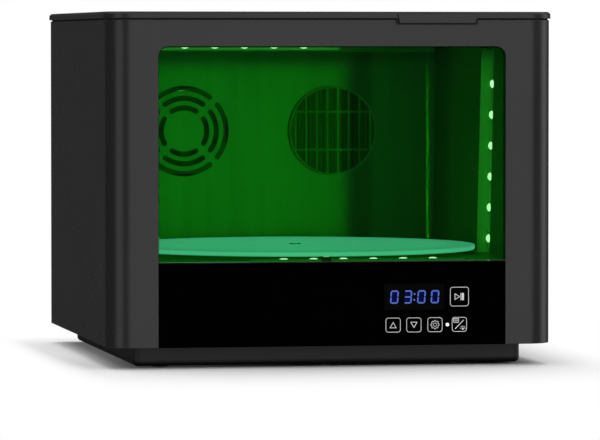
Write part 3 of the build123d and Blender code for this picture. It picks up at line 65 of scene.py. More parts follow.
# ---------------------------------------------------------------- node graphs
class Graph:
    """Adds nodes to one node tree and joins them."""

    def __init__(self, tree: bpy.types.NodeTree) -> None:
        """Keep the tree that the nodes go into."""
        self.tree = tree

    def feed(self, socket: Socket, value: object) -> None:
        """Join a source to an input, or set the input's value.

        Args:
            socket: The input.
            value: A number or tuple, a source socket, or a node whose first output is the source.
        """
        if isinstance(value, bpy.types.Node):
            value = value.outputs[0]
        if isinstance(value, Socket):
            self.tree.links.new(value, socket)
        elif socket.type == "RGBA":
            socket.default_value = (*value, 1.0)
        else:
            socket.default_value = value

    def add(self, kind: str, inputs: dict | None = None, **settings: object) -> bpy.types.Node:
        """Add one node.

        Args:
            kind: Type name of the node, without "ShaderNode" where it starts with that.
            inputs: Values, source sockets or source nodes, by input name or number.
            settings: Attributes of the node.

        Returns:
            The new node.
        """
        node = self.tree.nodes.new(kind if kind.startswith("Node") else f"ShaderNode{kind}")
        for name, value in settings.items():
            setattr(node, name, value)
        for name, value in (inputs or {}).items():
            self.feed(node.inputs[name], value)
        return node

    def math(self, operation: str, first: object, *others: object) -> Socket:
        """Carry a Math operation through some values, one node for each value after the first.

        Args:
            operation: Name of the operation.
            first: First value or socket.
            others: The other values or sockets, none for a function of one value.

        Returns:
            The result.
        """
        for second in others or (0.5,):
            first = self.add("Math", {0: first, 1: second}, operation=operation).outputs[0]
        return first

    def spread(
        self, value: Socket, low: float, high: float, to_low: float = 0.0, to_high: float = 1.0
    ) -> Socket:
        """Carry a value from the range low to high to the range to_low to to_high, smoothly and clamped."""
        inputs = {0: value, 1: low, 2: high, 3: to_low, 4: to_high}
        return self.add("MapRange", inputs, interpolation_type="SMOOTHSTEP").outputs[0]

    def blend(self, share: object, first: object, second: object) -> Socket:
        """Mix two colours by the share of the second."""
        return self.add("Mix", {0: share, 6: first, 7: second}, data_type="RGBA").outputs[2]

    def fade(self, share: object, first: object, second: object) -> Socket:
        """Mix two numbers by the share of the second."""
        return self.add("Mix", {0: share, 2: first, 3: second}).outputs[0]

    def place(self) -> Socket:
        """Give the place on the piece."""
        return self.add("TexCoord").outputs["Object"]

    def part(self, axis: str) -> Socket:
        """Give one part of the place on the piece."""
        return self.add("SeparateXYZ", {0: self.place()}).outputs[axis]

    def upward(self) -> Socket:
        """Give how far the surface faces upwards."""
        return self.add("SeparateXYZ", {0: self.add("NewGeometry").outputs["Normal"]}).outputs["Z"]

    def apart(self, value: Socket, middle: float) -> Socket:
        """Give the distance of a value from a middle."""
        return self.math("ABSOLUTE", self.math("SUBTRACT", value, middle))

    def noise(self, vector: object, scale: object, detail: float, warp: float = 0.0) -> Socket:
        """Give cloudy noise over a vector."""
        inputs = {"Vector": vector, "Scale": scale, "Detail": detail, "Distortion": warp}
        return self.add("TexNoise", inputs).outputs[0]

    def rays(self, *kinds: str) -> list[Socket]:
        """Tell whether rays of these kinds look at the surface."""
        path = self.add("LightPath").outputs
        return [path[f"Is {kind} Ray"] for kind in kinds]


class Effect(Enum):
    """Effects that several finishes share: name of the group, its inputs with defaults, its outputs."""

    GRAIN = ("fine_grain", {"Scale": 1400.0, "Coarse": 0.25}, ("Height", "Mask"))
    HANDLING = ("handling_marks", {"Scale": 9.0, "Amount": 1.0}, ("Mask",))
    BRUSHING = ("brushed_lines", {"Scale": 900.0}, ("Height", "Mask"))
    DUST = ("settled_dust", {"Scale": 260.0, "Amount": 0.3}, ("Mask",))


class EffectGroups:
    """Builds each shared effect once, as a node group with named sockets."""

    def __init__(self) -> None:
        """Start with no group built."""
        self._made: dict[Effect, bpy.types.NodeTree] = {}

    def get(self, effect: Effect) -> bpy.types.NodeTree:
        """Give the node group of an effect, building it the first time.

        Args:
            effect: Which effect.

        Returns:
            The group's tree.
        """
        if effect not in self._made:
            name, inputs, outputs = effect.value
            tree = bpy.data.node_groups.new(name, "ShaderNodeTree")
            for way, sockets in (("INPUT", inputs), ("OUTPUT", dict.fromkeys(outputs, 0.0))):
                for label, value in sockets.items():
                    socket = tree.interface.new_socket(name=label, in_out=way, socket_type="NodeSocketFloat")
                    socket.default_value = value
            graph = Graph(tree)
            recipe = getattr(self, f"_{effect.name.lower()}")
            graph.add("NodeGroupOutput", recipe(graph, graph.add("NodeGroupInput").outputs))
            self._made[effect] = tree
        return self._made[effect]

    def _grain(self, graph: Graph, given: Sockets) -> dict[str, Socket]:
        """Make the even fine grain of powder paint and moulded plastic: two sizes of noise added.

        Args:
            graph: Graph of the group.
            given: Its inputs.

        Returns:
            Its outputs by name.
        """
        place = graph.place()
        coarse = graph.noise(place, graph.math("MULTIPLY", given["Scale"], 0.14), 3.0)
        share = graph.math("MULTIPLY", coarse, given["Coarse"])
        height = graph.math("ADD", graph.noise(place, given["Scale"], 2.0), share)
        return {"Height": height, "Mask": graph.spread(coarse, 0.35, 0.65)}

    def _handling(self, graph: Graph, given: Sockets) -> dict[str, Socket]:
        """Make the cloudy unevenness that handling leaves: warped slow noise, thinned to patches."""
        patches = graph.spread(graph.noise(graph.place(), given["Scale"], 6.0, 1.2), 0.42, 0.72)
        return {"Mask": graph.math("MULTIPLY", patches, given["Amount"])}

    def _brushing(self, graph: Graph, given: Sockets) -> dict[str, Socket]:
        """Make brushed lines: noise stretched forty times along the sheet's upright direction.

        Args:
            graph: Graph of the group.
            given: Its inputs.

        Returns:
            Its outputs by name.
        """
        drawn = graph.add("Mapping", {"Vector": graph.place(), "Scale": (1.0, 1.0, 0.025)})
        bands = graph.noise(drawn, graph.math("MULTIPLY", given["Scale"], 0.08), 2.0)
        return {"Height": graph.noise(drawn, given["Scale"], 4.0), "Mask": graph.spread(bands, 0.3, 0.7)}

    def _dust(self, graph: Graph, given: Sockets) -> dict[str, Socket]:
        """Make settled dust: sparse specks from cell noise, only where the surface faces upwards.

        Args:
            graph: Graph of the group.
            given: Its inputs.

        Returns:
            Its outputs by name.
        """
        specks = graph.add("TexVoronoi", {"Vector": graph.place(), "Scale": given["Scale"]})
        spots = graph.spread(specks.outputs["Distance"], 0.06, 0.16, 1.0, 0.0)
        facing = graph.spread(graph.upward(), 0.3, 0.95)
        return {"Mask": graph.math("MULTIPLY", spots, facing, given["Amount"])}


EFFECTS = EffectGroups()


class MaterialGraph(Graph):
    """Node graph of one material around a Principled shader."""

    def __init__(self, name: str) -> None:
        """Make the material with one Principled shader.

        Args:
            name: Name of the material.
        """
        self.material = bpy.data.materials.new(name)
        self.material.use_nodes = True
        super().__init__(self.material.node_tree)
        self.tree.nodes.clear()
        self.shader = self.add("BsdfPrincipled")
        self.output = self.add("OutputMaterial", {"Surface": self.shader})

    def effect(self, effect: Effect, **values: float) -> Sockets:
        """Place a shared effect with its own values and give its outputs."""
        return self.add("Group", values, node_tree=EFFECTS.get(effect)).outputs

    def marks(self, scale: float, amount: float = 1.0) -> Socket:
        """Give the mask of handling marks."""
        return self.effect(Effect.HANDLING, Scale=scale, Amount=amount)["Mask"]

    def shade(self, values: dict) -> None:
        """Set or join inputs of the shader by name."""
        for name, value in values.items():
            self.feed(self.shader.inputs[name], value)

    def bump(self, height: Socket, depth: float, strength: float = 1.0) -> None:
        """Give the shader a relief of a depth in metres, from a height of about 0 to 1."""
        self.shade({"Normal": self.add("Bump", {"Height": height, "Distance": depth, "Strength": strength})})


# ---------------------------------------------------------------- finishes
def scaled(colour: Colour, share: float) -> Colour:
    """Make a colour lighter or darker."""
    return tuple(part * share for part in colour)


@dataclass(frozen=True)
class Finish:
    """One finish of the unit."""

    name: str
    colour: Colour

    def build(self) -> Material:
        """Build the material.

        Returns:
            The finished material.
        """
        graph = MaterialGraph(self.name)
        self.paint(graph)
        return graph.material

    def paint(self, graph: MaterialGraph) -> None:
        """Lay the plain colour; each kind of finish lays its own."""
        graph.shade({"Base Color": self.colour})


@dataclass(frozen=True)
class GrainedCoat(Finish):
    """Powder paint or moulded plastic: an even grain, slightly cloudy in colour and sheen."""

    cloudy: Colour
    roughness: float = 0.45
    specular: float = 0.3
    grain_scale: float = 1500.0
    grain_depth: float = 0.00004
    dust: float = 0.1
    foot: float = 0.0
    foot_fade: float = 0.002
    foot_dirt: float = 0.8
    dust_tone: Colour = (0.3, 0.29, 0.27)
    mark_scale: float = 7.0
    mark_amount: float = 0.6
    mark_polish: float = -0.035
    speckle: float = 0.015

    def paint(self, graph: MaterialGraph) -> None:
        """Cloud and dust the colour, and paint shade below the foot height if there is one.

        Args:
            graph: Graph of the material.
        """
        grain = graph.effect(Effect.GRAIN, Scale=self.grain_scale)
        marks = graph.marks(self.mark_scale, self.mark_amount)
        tone = graph.blend(marks, self.colour, self.cloudy)
        tone = graph.blend(graph.effect(Effect.DUST, Amount=self.dust)["Mask"], tone, self.dust_tone)
        if self.foot:
            # Painted shade: darker towards the bottom, where the piece meets the floor.
            painted_foot_shade = graph.spread(graph.part("Z"), self.foot - self.foot_fade, self.foot, self.foot_dirt, 0.0)
            tone = graph.blend(painted_foot_shade, tone, BLACK)
        speckle = graph.math("MULTIPLY", grain["Mask"], self.speckle)
        polish = graph.math("MULTIPLY", marks, self.mark_polish)
        rough = graph.math("ADD", polish, speckle, self.roughness)
        graph.shade({"Base Color": tone, "Roughness": rough, "Specular IOR Level": self.specular})
        graph.bump(grain["Height"], self.grain_depth)


@dataclass(frozen=True)
class GlossPanel(Finish):
    """Polished black panel with faint wiping marks, and a painted highlight along its top edge."""

    edge_height: float
    roughness: float = 0.05
    specular: float = 0.004
    edge_fade: float = 0.0002
    highlight_tone: Colour = (0.026, 0.03, 0.026)
    dust: float = 0.15
    dust_tone: Colour = (0.2, 0.2, 0.19)
    mark_scale: float = 16.0
    mark_tone: float = 1.5
    mark_rough: float = 0.07

    def paint(self, graph: MaterialGraph) -> None:
        """Dust and mark the colour, and paint a highlight above the edge height.

        Args:
            graph: Graph of the material.
        """
        marks = graph.marks(self.mark_scale)
        dust = graph.effect(Effect.DUST, Amount=self.dust)["Mask"]
        # Painted highlight: a paler band along the top edge.
        painted_highlight = graph.spread(graph.part("Z"), self.edge_height, self.edge_height + self.edge_fade)
        tone = graph.blend(painted_highlight, graph.blend(dust, self.colour, self.dust_tone), self.highlight_tone)
        lifted = graph.blend(marks, tone, scaled(self.colour, self.mark_tone))
        rough = graph.spread(marks, 0.0, 1.0, self.roughness, self.roughness + self.mark_rough)
        graph.shade({"Base Color": lifted, "Roughness": rough, "Specular IOR Level": self.specular})


@dataclass(frozen=True)
class DisplayGlass(Finish):
    """Smoked glass over the digits: printed black rim, and a painted blue glow where the lit digits shine
    into it.
    """

    low: Vector
    high: Vector
    rim_low: Pair = (0.2, 0.9)
    rim_high: Pair = (2.5, 0.6)
    digits: tuple[float, ...] = (10.6, 24.0, 38.4, 52.0)
    half_digit: Pair = (1.9 * MM, 4.3 * MM)
    haze: Colour = (0.0, 0.0025, 0.085)
    haze_reach: float = 0.0034
    haze_fall: float = 3.0
    rim_tone: Colour = (0.0002, 0.0002, 0.0003)
    rim_fade: float = 0.0002
    mark_scale: float = 16.0
    mark_tone: float = 1.2
    roughness: Pair = (0.05, 0.12)
    specular: float = 0.01

    def _outside(self, graph: Graph, middle: Pair, half: Pair) -> Socket:
        """Give the distance outside a rectangle: the larger of the two distances past its half sizes.

        Args:
            graph: Graph of the material.
            middle: Middle of the rectangle, across and up.
            half: Half sizes, across and up.

        Returns:
            The distance, negative inside.
        """
        rows = zip("XZ", middle, half)
        sides = [graph.math("SUBTRACT", graph.apart(graph.part(axis), at), far) for axis, at, far in rows]
        return graph.math("MAXIMUM", *sides)

    def paint(self, graph: MaterialGraph) -> None:
        """Mark the glass, print the rim and paint a glow round each digit's line.

        Args:
            graph: Graph of the material.
        """
        low = np.array([self.low.x, self.low.z]) + np.array(self.rim_low) * MM
        high = np.array([self.high.x, self.high.z]) - np.array(self.rim_high) * MM
        outside = self._outside(graph, (low + high) / 2, (high - low) / 2)
        marks = graph.marks(self.mark_scale)
        tone = graph.blend(marks, self.colour, scaled(self.colour, self.mark_tone))
        tone = graph.blend(graph.spread(outside, 0.0, self.rim_fade), tone, self.rim_tone)
        level = (self.low.z + self.high.z) / 2
        # Painted glow: an emission round each lit digit's line, strongest at the line.
        hazes = []
        for digit in self.digits:
            middle = (self.low.x + digit * MM, level)
            line = graph.math("ABSOLUTE", self._outside(graph, middle, self.half_digit))
            hazes.append(graph.spread(line, 0.0, self.haze_reach, 1.0, 0.0))
        haze = graph.math("POWER", graph.math("MAXIMUM", *hazes), self.haze_fall)
        rough = graph.spread(marks, 0.0, 1.0, *self.roughness)
        graph.shade({"Base Color": tone, "Specular IOR Level": self.specular, "Roughness": rough})
        graph.shade({"Emission Color": self.haze, "Emission Strength": haze})


@dataclass(frozen=True)
class TintedAcrylic(Finish):
    """Clear tinted acrylic sheet, with a faint painted glow along its sawn lower edge."""

    edge_height: float
    roughness: float = 0.0
    ior: float = 1.06
    edge_fade: float = 0.0002
    edge_colour: Colour = (0.75, 1.0, 0.75)
    edge_glow: float = 0.01
    mark_scale: float = 5.0
    mark_tone: float = 0.96

    def paint(self, graph: MaterialGraph) -> None:
        """Tint the sheet, and paint a faint glow below the edge height.

        Args:
            graph: Graph of the material.
        """
        low, high = self.edge_height - self.edge_fade, self.edge_height
        # Painted glow: a faint emission below the edge height.
        painted_emission = graph.spread(graph.part("Z"), low, high, self.edge_glow, 0.0)
        tone = graph.blend(graph.marks(self.mark_scale), self.colour, scaled(self.colour, self.mark_tone))
        graph.shade({"Base Color": tone, "Roughness": self.roughness, "IOR": self.ior})
        graph.shade({"Transmission Weight": 1.0, "Emission Color": self.edge_colour})
        graph.shade({"Emission Strength": painted_emission})


@dataclass(frozen=True)
class BrushedSheet(Finish):
    """Sheet metal with brushed lines; a shade band is a soft dark stripe of painted shade: axis, middle, half
    width and depth.
    """

    shaded: Colour
    roughness: float = 0.35
    metallic: float = 1.0
    line_depth: float = 0.00002
    cloud: float = 0.12
    shade_bands: tuple[tuple[str, float, float, float], ...] = ()
    line_scale: float = 1100.0
    mark_scale: float = 8.0
    mark_amount: float = 0.7

    def paint(self, graph: MaterialGraph) -> None:
        """Brush the sheet and paint its shade bands.

        Args:
            graph: Graph of the material.
        """
        lines = graph.effect(Effect.BRUSHING, Scale=self.line_scale)
        tone = graph.blend(lines["Mask"], self.colour, self.shaded)
        # Painted shade: each band darkens the colour most at its middle.
        for axis, middle, half, depth in self.shade_bands:
            stripe = graph.spread(graph.apart(graph.part(axis), middle), half * 0.2, half, depth, 0.0)
            tone = graph.blend(stripe, tone, BLACK)
        marks = graph.marks(self.mark_scale, self.mark_amount)
        rough = graph.spread(marks, 0.0, 1.0, self.roughness, self.roughness + self.cloud)
        graph.shade({"Base Color": tone, "Roughness": rough, "Metallic": self.metallic})
        graph.bump(lines["Height"], self.line_depth)


@dataclass(frozen=True)
class OpalAcrylic(Finish):
    """Frosted opal acrylic of the turntable: turning marks, and a painted glow on its face and rim, dimmed in
    a painted shade band inside the rim.
    """

    centre: Pair
    radius: float
    roughness: float = 0.5
    tint: Colour = (0.86, 1.02, 2.05)
    glow: float = 0.47
    rim: float = 1.35
    open_share: float = 0.15
    rim_shade: Pair = (0.034, 0.02)
    glow_in_shade: float = 0.86
    ring_scale: float = 260.0
    ring_depth: float = 0.000015
    mark_scale: float = 11.0
    mark_amount: float = 0.8
    mark_tone: float = 0.94
    mark_rough: float = 0.15

    def paint(self, graph: MaterialGraph) -> None:
        """Mark the opal, and paint a glow on its face and rim, weaker where no pane is in front of it.

        Args:
            graph: Graph of the material.
        """
        x, y = self.centre
        moved = graph.add("Mapping", {"Vector": graph.place(), "Location": (-x, -y, 0.0)})
        inputs = {"Vector": moved, "Scale": self.ring_scale, "Distortion": 0.4, "Detail": 2.0}
        rings = graph.add("TexWave", inputs, wave_type="RINGS", rings_direction="Z")
        marks = graph.marks(self.mark_scale, self.mark_amount)
        tone = graph.blend(marks, self.colour, scaled(self.colour, self.mark_tone))
        rough = graph.spread(marks, 0.0, 1.0, self.roughness, self.roughness + self.mark_rough)
        flat = graph.add("VectorMath", {0: moved, 1: (1.0, 1.0, 0.0)}, operation="MULTIPLY")
        out = graph.add("VectorMath", {0: flat}, operation="LENGTH").outputs["Value"]
        # Painted shade: the face's glow dims in a band just inside the rim.
        near, far = (self.radius - width for width in self.rim_shade)
        rim_shade = graph.spread(out, near, far, 1.0, self.glow_in_shade)
        # Painted glow: an emission on the face and, brighter, on the rim, full through the pane and weaker to
        # the camera.
        camera, through = graph.rays("Camera", "Transmission")
        direct = graph.math("MAXIMUM", graph.math("MULTIPLY", camera, self.open_share), through)
        level = graph.spread(graph.math("ABSOLUTE", graph.upward()), 0.1, 0.9)
        painted_emission = graph.fade(level, self.glow * self.rim, graph.math("MULTIPLY", rim_shade, self.glow))
        strength = graph.math("MULTIPLY", direct, painted_emission)
        graph.shade({"Base Color": tone, "Roughness": rough, "Emission Color": self.tint})
        graph.shade({"Emission Strength": strength})
        graph.bump(rings.outputs["Color"], self.ring_depth, 0.6)


@dataclass(frozen=True)
class Glowing(Finish):
    """A lit part: its own speckled glow over a moulded body, and the weaker light that it casts."""

    glow: Colour
    strength: float
    dim: float = 0.85
    speckle: float = 900.0
    cast: float = 1.0
    cast_colour: Colour = (1.0, 1.0, 1.0)

    def paint(self, graph: MaterialGraph) -> None:
        """Speckle the glow where it is seen, and give other rays the cast light.

        Args:
            graph: Graph of the material.
        """
        share = graph.spread(graph.noise(graph.place(), self.speckle, 1.0), 0.35, 0.65)
        glow = graph.blend(share, self.glow, scaled(self.glow, self.dim))
        direct = graph.math("MAXIMUM", *graph.rays("Camera", "Transmission"))
        strength = graph.spread(direct, 0.0, 1.0, self.strength * self.cast, self.strength)
        glow = graph.blend(direct, self.cast_colour, glow)
        graph.shade({"Base Color": self.colour, "Roughness": 0.25})
        graph.shade({"Emission Color": glow, "Emission Strength": strength})


@dataclass(frozen=True)
class CircuitBoard(Finish):
    """Solder-masked board with fine copper tracks under the mask and tinned pads."""

    track: Colour
    pad: Colour = (0.6, 0.6, 0.58)
    track_scale: float = 160.0
    pad_scale: float = 190.0
    pad_edge: Pair = (0.12, 0.17)
    relief: float = 0.00003

    def paint(self, graph: MaterialGraph) -> None:
        """Lay the tracks and the pads.

        Args:
            graph: Graph of the material.
        """
        inputs = {"Vector": graph.place(), "Scale": self.track_scale, "Mortar Size": 0.03}
        bricks = graph.add("TexBrick", {**inputs, "Brick Width": 0.9, "Row Height": 0.28}).outputs["Fac"]
        pads = graph.add("TexVoronoi", {"Vector": graph.place(), "Scale": self.pad_scale, "Randomness": 0.4})
        pad = graph.spread(pads.outputs["Distance"], *self.pad_edge, 1.0, 0.0)
        tone = graph.blend(pad, graph.blend(bricks, self.colour, self.track), self.pad)
        graph.shade({"Base Color": tone, "Roughness": 0.35, "Metallic": graph.math("MULTIPLY", pad, 0.9)})
        graph.bump(bricks, self.relief)


@dataclass(frozen=True)
class Fleece(Finish):
    """Pleated filter fleece with loose fibres, paler where more light falls on it."""

    pleat: float = 5.4 * MM
    pale_from: Pair = (0.098, 0.118)
    pale_tone: float = 2.0
    pleat_tone: float = 0.3
    pleat_shade: float = 0.4
    fibre_tone: float = 0.7
    fibre_scale: float = 1600.0
    fibre_depth: float = 0.00025

    def paint(self, graph: MaterialGraph) -> None:
        """Lay the fibres, the paler side and the shade between the pleats.

        Args:
            graph: Graph of the material.
        """
        drawn = graph.add("Mapping", {"Vector": graph.place(), "Scale": (1.0, 1.0, 0.3)})
        fibres = graph.noise(drawn, self.fibre_scale, 5.0, 2.0)
        across = graph.part("X")
        wave = graph.math("SINE", graph.math("MULTIPLY", across, math.tau / self.pleat))
        between = graph.spread(wave, -0.2, 0.9, 0.0, self.pleat_shade)
        tone = graph.blend(fibres, self.colour, scaled(self.colour, self.fibre_tone))
        tone = graph.blend(graph.spread(across, *self.pale_from), tone, scaled(self.colour, self.pale_tone))
        tone = graph.blend(between, tone, scaled(self.colour, self.pleat_tone))
        graph.shade({"Base Color": tone, "Roughness": 0.95, "Sheen Weight": 0.2, "Specular IOR Level": 0.1})
        graph.bump(fibres, self.fibre_depth)


def make_finishes() -> dict[str, Material]:
    """Build all finishes of the unit.

    Returns:
        Each material by its name.
    """
    disc_low, disc_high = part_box("turntable_disc")
    middle = (disc_low + disc_high) / 2
    rear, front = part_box("back_wall")[0].y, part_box("right_liner")[0].y
    pale, grey = (0.62, 0.63, 0.63), (0.56, 0.57, 0.57)
    # Painted shade bands: on the side liners towards the back corner and the front edge, on the back wall
    # beside the wall wash's edge and under the top bar, and across part of the grille's wires.
    liner_shade = (("Y", rear, 0.11, 0.5), ("Y", front, 0.03, 0.4))
    wall_shade = (("X", 0.114, 0.018, 0.4), ("Z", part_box("top_light_bar")[0].z, 0.016, 0.35))
    wire_shade = (("X", 0.05, 0.075, 0.55),)
    bar, bar_cloud = (0.6, 0.62, 0.6), (0.55, 0.57, 0.55)
    # Heights below which the pane has a painted glow and above which the fascia has a painted highlight.
    sawn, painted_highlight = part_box("window_pane")[0].z + 0.0009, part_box("control_fascia")[1].z - 0.0009
    chosen = (
        GrainedCoat(
            "graphite_paint", (0.018, 0.018, 0.0185), (0.0155, 0.0155, 0.016), 0.26, 0.5, grain_depth=2.5e-6
        ),
        # Painted highlight: a paler paint for the front frame's rounded edges.
        GrainedCoat("graphite_paint_edge", (0.05, 0.05, 0.051), (0.04, 0.04, 0.041), 0.35, 0.5),
        # Painted shade: the base's moulding darkens towards its bottom edge, where it meets the floor.
        GrainedCoat(
            "black_moulding", (0.033, 0.033, 0.0335), (0.028, 0.028, 0.0285), 0.42, 0.25, 1100.0, 2e-5,
            foot=0.0085,
        ),
        GrainedCoat("black_nylon", (0.016, 0.016, 0.017), (0.013, 0.013, 0.014), 0.42, 0.35, 1900.0, 3e-5),
        GrainedCoat(
            "grey_fan_moulding", (0.11, 0.115, 0.11), (0.09, 0.095, 0.09), 0.5, 0.3, 1600.0, 3e-5, 0.15
        ),
        GrainedCoat("foot_rubber", (0.02, 0.02, 0.02), (0.03, 0.03, 0.03), 0.85, 0.15, 800.0, 1e-4, 0.2),
        GrainedCoat("white_bar_moulding", bar, bar_cloud, 0.5, 0.3, 1300.0, 3e-5, 0.0),
        GrainedCoat("ledge_paint", (0.2, 0.205, 0.2), (0.18, 0.185, 0.18), 0.5, 0.3, 1300.0, 3e-5, 0.0),
        GrainedCoat("printed_white_ink", (0.88, 0.88, 0.88), (0.82, 0.82, 0.82), 0.5, 0.2, 2200.0, 1e-5, 0.0),
        GlossPanel("gloss_black_panel", (0.0002, 0.0002, 0.0003), painted_highlight),
        DisplayGlass("smoked_display_window", (0.0022, 0.0022, 0.0024), *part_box("display_window")),
        TintedAcrylic("green_acrylic", (0.08, 0.6, 0.14), sawn),
        BrushedSheet("satin_aluminium", pale, grey, 0.42, 0.6, cloud=0.06, shade_bands=liner_shade),
        BrushedSheet("reflector_aluminium", pale, grey, 0.36, 0.85, cloud=0.03),
        BrushedSheet(
            "folded_aluminium", (0.48, 0.49, 0.49), (0.43, 0.44, 0.44), 0.42, 0.6,
            cloud=0.06, shade_bands=wall_shade,
        ),
        BrushedSheet("zinc_plated_sheet", (0.55, 0.56, 0.57), (0.47, 0.48, 0.5), 0.38),
        BrushedSheet("ground_steel", (0.58, 0.58, 0.58), (0.5, 0.5, 0.51), 0.25),
        BrushedSheet("grey_wire", (0.6, 0.61, 0.61), (0.55, 0.56, 0.56), 0.5, 0.0, 1e-5, 0.05, wire_shade),
        BrushedSheet("touch_copper", (0.75, 0.4, 0.2), (0.6, 0.3, 0.15), 0.3),
        OpalAcrylic("opal_acrylic", (0.8, 0.82, 0.8), (middle.x, middle.y), disc_high.x - middle.x),
        Glowing("lamp_dome", (0.9, 0.92, 0.9), (1.0, 0.28, 0.6), 6.8, 0.7, 500.0, 0.05, (0.26, 1.0, 0.03)),
        Glowing(
            "light_bar_lens", (0.75, 0.78, 0.75), (0.42, 1.0, 0.28), 0.2, 0.9, 300.0, 0.25, (0.2, 1.0, 0.05)
        ),
        # Painted glow: the floor light bar's moulding glows faintly, though it is no lamp.
        Glowing("lit_bar_moulding", bar, (0.35, 1.0, 0.19), 0.03, 0.9, 300.0),
        Glowing("digit_glow", (0.02, 0.03, 0.08), (0.1, 0.23, 1.0), 0.48, 0.9, 1500.0),
        Glowing("indicator_glow", (0.8, 0.8, 0.8), (1.0, 1.0, 1.0), 0.6),
        Glowing("sensor_lens_glow", (0.7, 0.8, 0.7), (1.0, 0.5, 0.5), 2.0),
        CircuitBoard("circuit_board", (0.012, 0.1, 0.035), (0.03, 0.2, 0.07)),
        CircuitBoard("white_lamp_board", (0.62, 0.64, 0.62), (0.5, 0.52, 0.5)),
        Fleece("filter_fleece", (0.19, 0.195, 0.19)),
    )
    return {finish.name: finish.build() for finish in chosen}


# ---------------------------------------------------------------- surfaces
def box_mm(node: str) -> tuple[np.ndarray, np.ndarray, np.ndarray]:
    """Give a node's lowest and highest corners and its middle, in millimetres."""
    low, high = (np.array(corner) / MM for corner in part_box(node))
    return low, high, (low + high) / 2


def add_object(name: str, data: bpy.types.ID) -> bpy.types.Object:
    """Put an object into the scene.

    Args:
        name: Name of the object.
        data: Its mesh, lamp or camera.

    Returns:
        The object.
    """
    thing = bpy.data.objects.new(name, data)
    bpy.context.scene.collection.objects.link(thing)
    return thing


def face_middles(mesh: bpy.types.Mesh) -> np.ndarray:
    """Give the middle of each face.

    Args:
        mesh: The mesh.

    Returns:
        The three parts of the middles, in metres.
    """
    middles = np.empty(len(mesh.polygons) * 3)
    mesh.polygons.foreach_get("center", middles)
    return middles.reshape(-1, 3).T


def loft_faces(rings: int, count: int, start: int = 0, ends: bool = True) -> list[list[int]]:
    """Number the faces of a loft.

    The surface is a function of two parameters: the ring, and the place round the ring. Each cell is one
    quad, and each end ring is closed by one many-sided face.

    Args:
        rings: Number of rings.
        count: Points in each ring.
        start: Number of the first corner.
        ends: Whether the end rings are closed.

    Returns:
        The corner numbers of each face.
    """
    row, column = np.meshgrid(np.arange(rings - 1), np.arange(count), indexing="ij")
    near = start + row * count + column
    beside = start + row * count + (column + 1) % count
    faces = np.stack([near, beside, beside + count, near + count], axis=-1).reshape(-1, 4).tolist()
    if ends:
        first = start + np.arange(count)
        faces += [first[::-1].tolist(), (first + (rings - 1) * count).tolist()]
    return faces


def rounded_outline(
    width: float, height: float, radius: float, steps: int = 6, at: Pair = (0.0, 0.0)
) -> np.ndarray:
    """Give the outline of a rounded rectangle.

    Each corner is a quarter circle: its middle plus the radius times the cosine and sine of an angle that
    runs through ninety degrees.

    Args:
        width: Full width.
        height: Full height.
        radius: Corner radius.
        steps: Points in each corner.
        at: Middle of the rectangle.

    Returns:
        Points, n by 2, anticlockwise.
    """
    turn = np.tile(np.linspace(0.0, math.pi / 2, steps), 4) + np.repeat(np.arange(4) * math.pi / 2, steps)
    x = np.repeat([1, -1, -1, 1], steps) * (width / 2 - radius) + radius * np.cos(turn)
    y = np.repeat([1, 1, -1, -1], steps) * (height / 2 - radius) + radius * np.sin(turn)
    return np.stack([x, y], axis=-1) + np.array(at)


def upright(outline: np.ndarray, depth: float) -> np.ndarray:
    """Stand a flat outline up at a depth: its second part becomes the height."""
    return np.stack([outline[:, 0], np.full(len(outline), depth), outline[:, 1]], axis=-1)


def spun(points: np.ndarray, angle: float) -> np.ndarray:
    """Turn flat points anticlockwise about the middle."""
    cosine, sine = math.cos(angle), math.sin(angle)
    return points @ np.array([[cosine, sine], [-sine, cosine]])


def stroke(outline: np.ndarray, width: float, thickness: float = PRINT_DEPTH) -> np.ndarray:
    """Carry a thin rectangular section along a closed flat outline.

    The outward direction at a point is its tangent, taken from its two neighbours, turned by ninety
    degrees. The section's corners lie half the width to either side, mitred, at the back and at the front.

    Args:
        outline: Points, n by 2, anticlockwise.
        width: Width of the line.
        thickness: Thickness of the line.

    Returns:
        A loft of n rings of 4 points, in x, depth and height.
    """
    ahead = np.roll(outline, -1, axis=0) - outline
    behind = outline - np.roll(outline, 1, axis=0)
    ahead /= np.linalg.norm(ahead, axis=1, keepdims=True)
    tangent = ahead + behind / np.linalg.norm(behind, axis=1, keepdims=True)
    tangent /= np.linalg.norm(tangent, axis=1, keepdims=True)
    mitre = np.clip(np.sum(tangent * ahead, axis=1), 0.35, 1.0)[:, None]
    reach = np.stack([tangent[:, 1], -tangent[:, 0]], axis=-1) * (width / 2) / mitre
    section = ((-1, 0.0), (1, 0.0), (1, -thickness), (-1, -thickness))
    return np.stack([upright(outline + side * reach, depth) for side, depth in section], axis=1)


def slab(outline: np.ndarray, thickness: float = PRINT_DEPTH, edge: float = 0.15) -> np.ndarray:
    """Raise a convex flat outline into a thin slab, whose front edge is drawn in towards the middle.

    Args:
        outline: Points, n by 2.
        thickness: Thickness of the slab.
        edge: Share of the thickness that the front edge draws in.

    Returns:
        A loft of 3 rings, in x, depth and height.
    """
    inward = outline.mean(axis=0) - outline
    inward /= np.linalg.norm(inward, axis=1, keepdims=True)
    rings = ((0.0, 0.0), (-thickness * (1 - edge), 0.0), (-thickness, edge * thickness))
    return np.stack([upright(outline + inward * draw, depth) for depth, draw in rings])


def placed(lofts: list[np.ndarray], x: float, y: float, z: float) -> list[np.ndarray]:
    """Move lofts in millimetres to their place and turn them into metres."""
    return [(loft + np.array([x, y, z])) * MM for loft in lofts]


def ringed(radius: np.ndarray, count: int) -> tuple[np.ndarray, np.ndarray]:
    """Carry each radius round a circle, and give its cosine part across and its sine part along."""
    angle = np.arange(count) * math.tau / count
    return radius * np.cos(angle), radius * np.sin(angle)


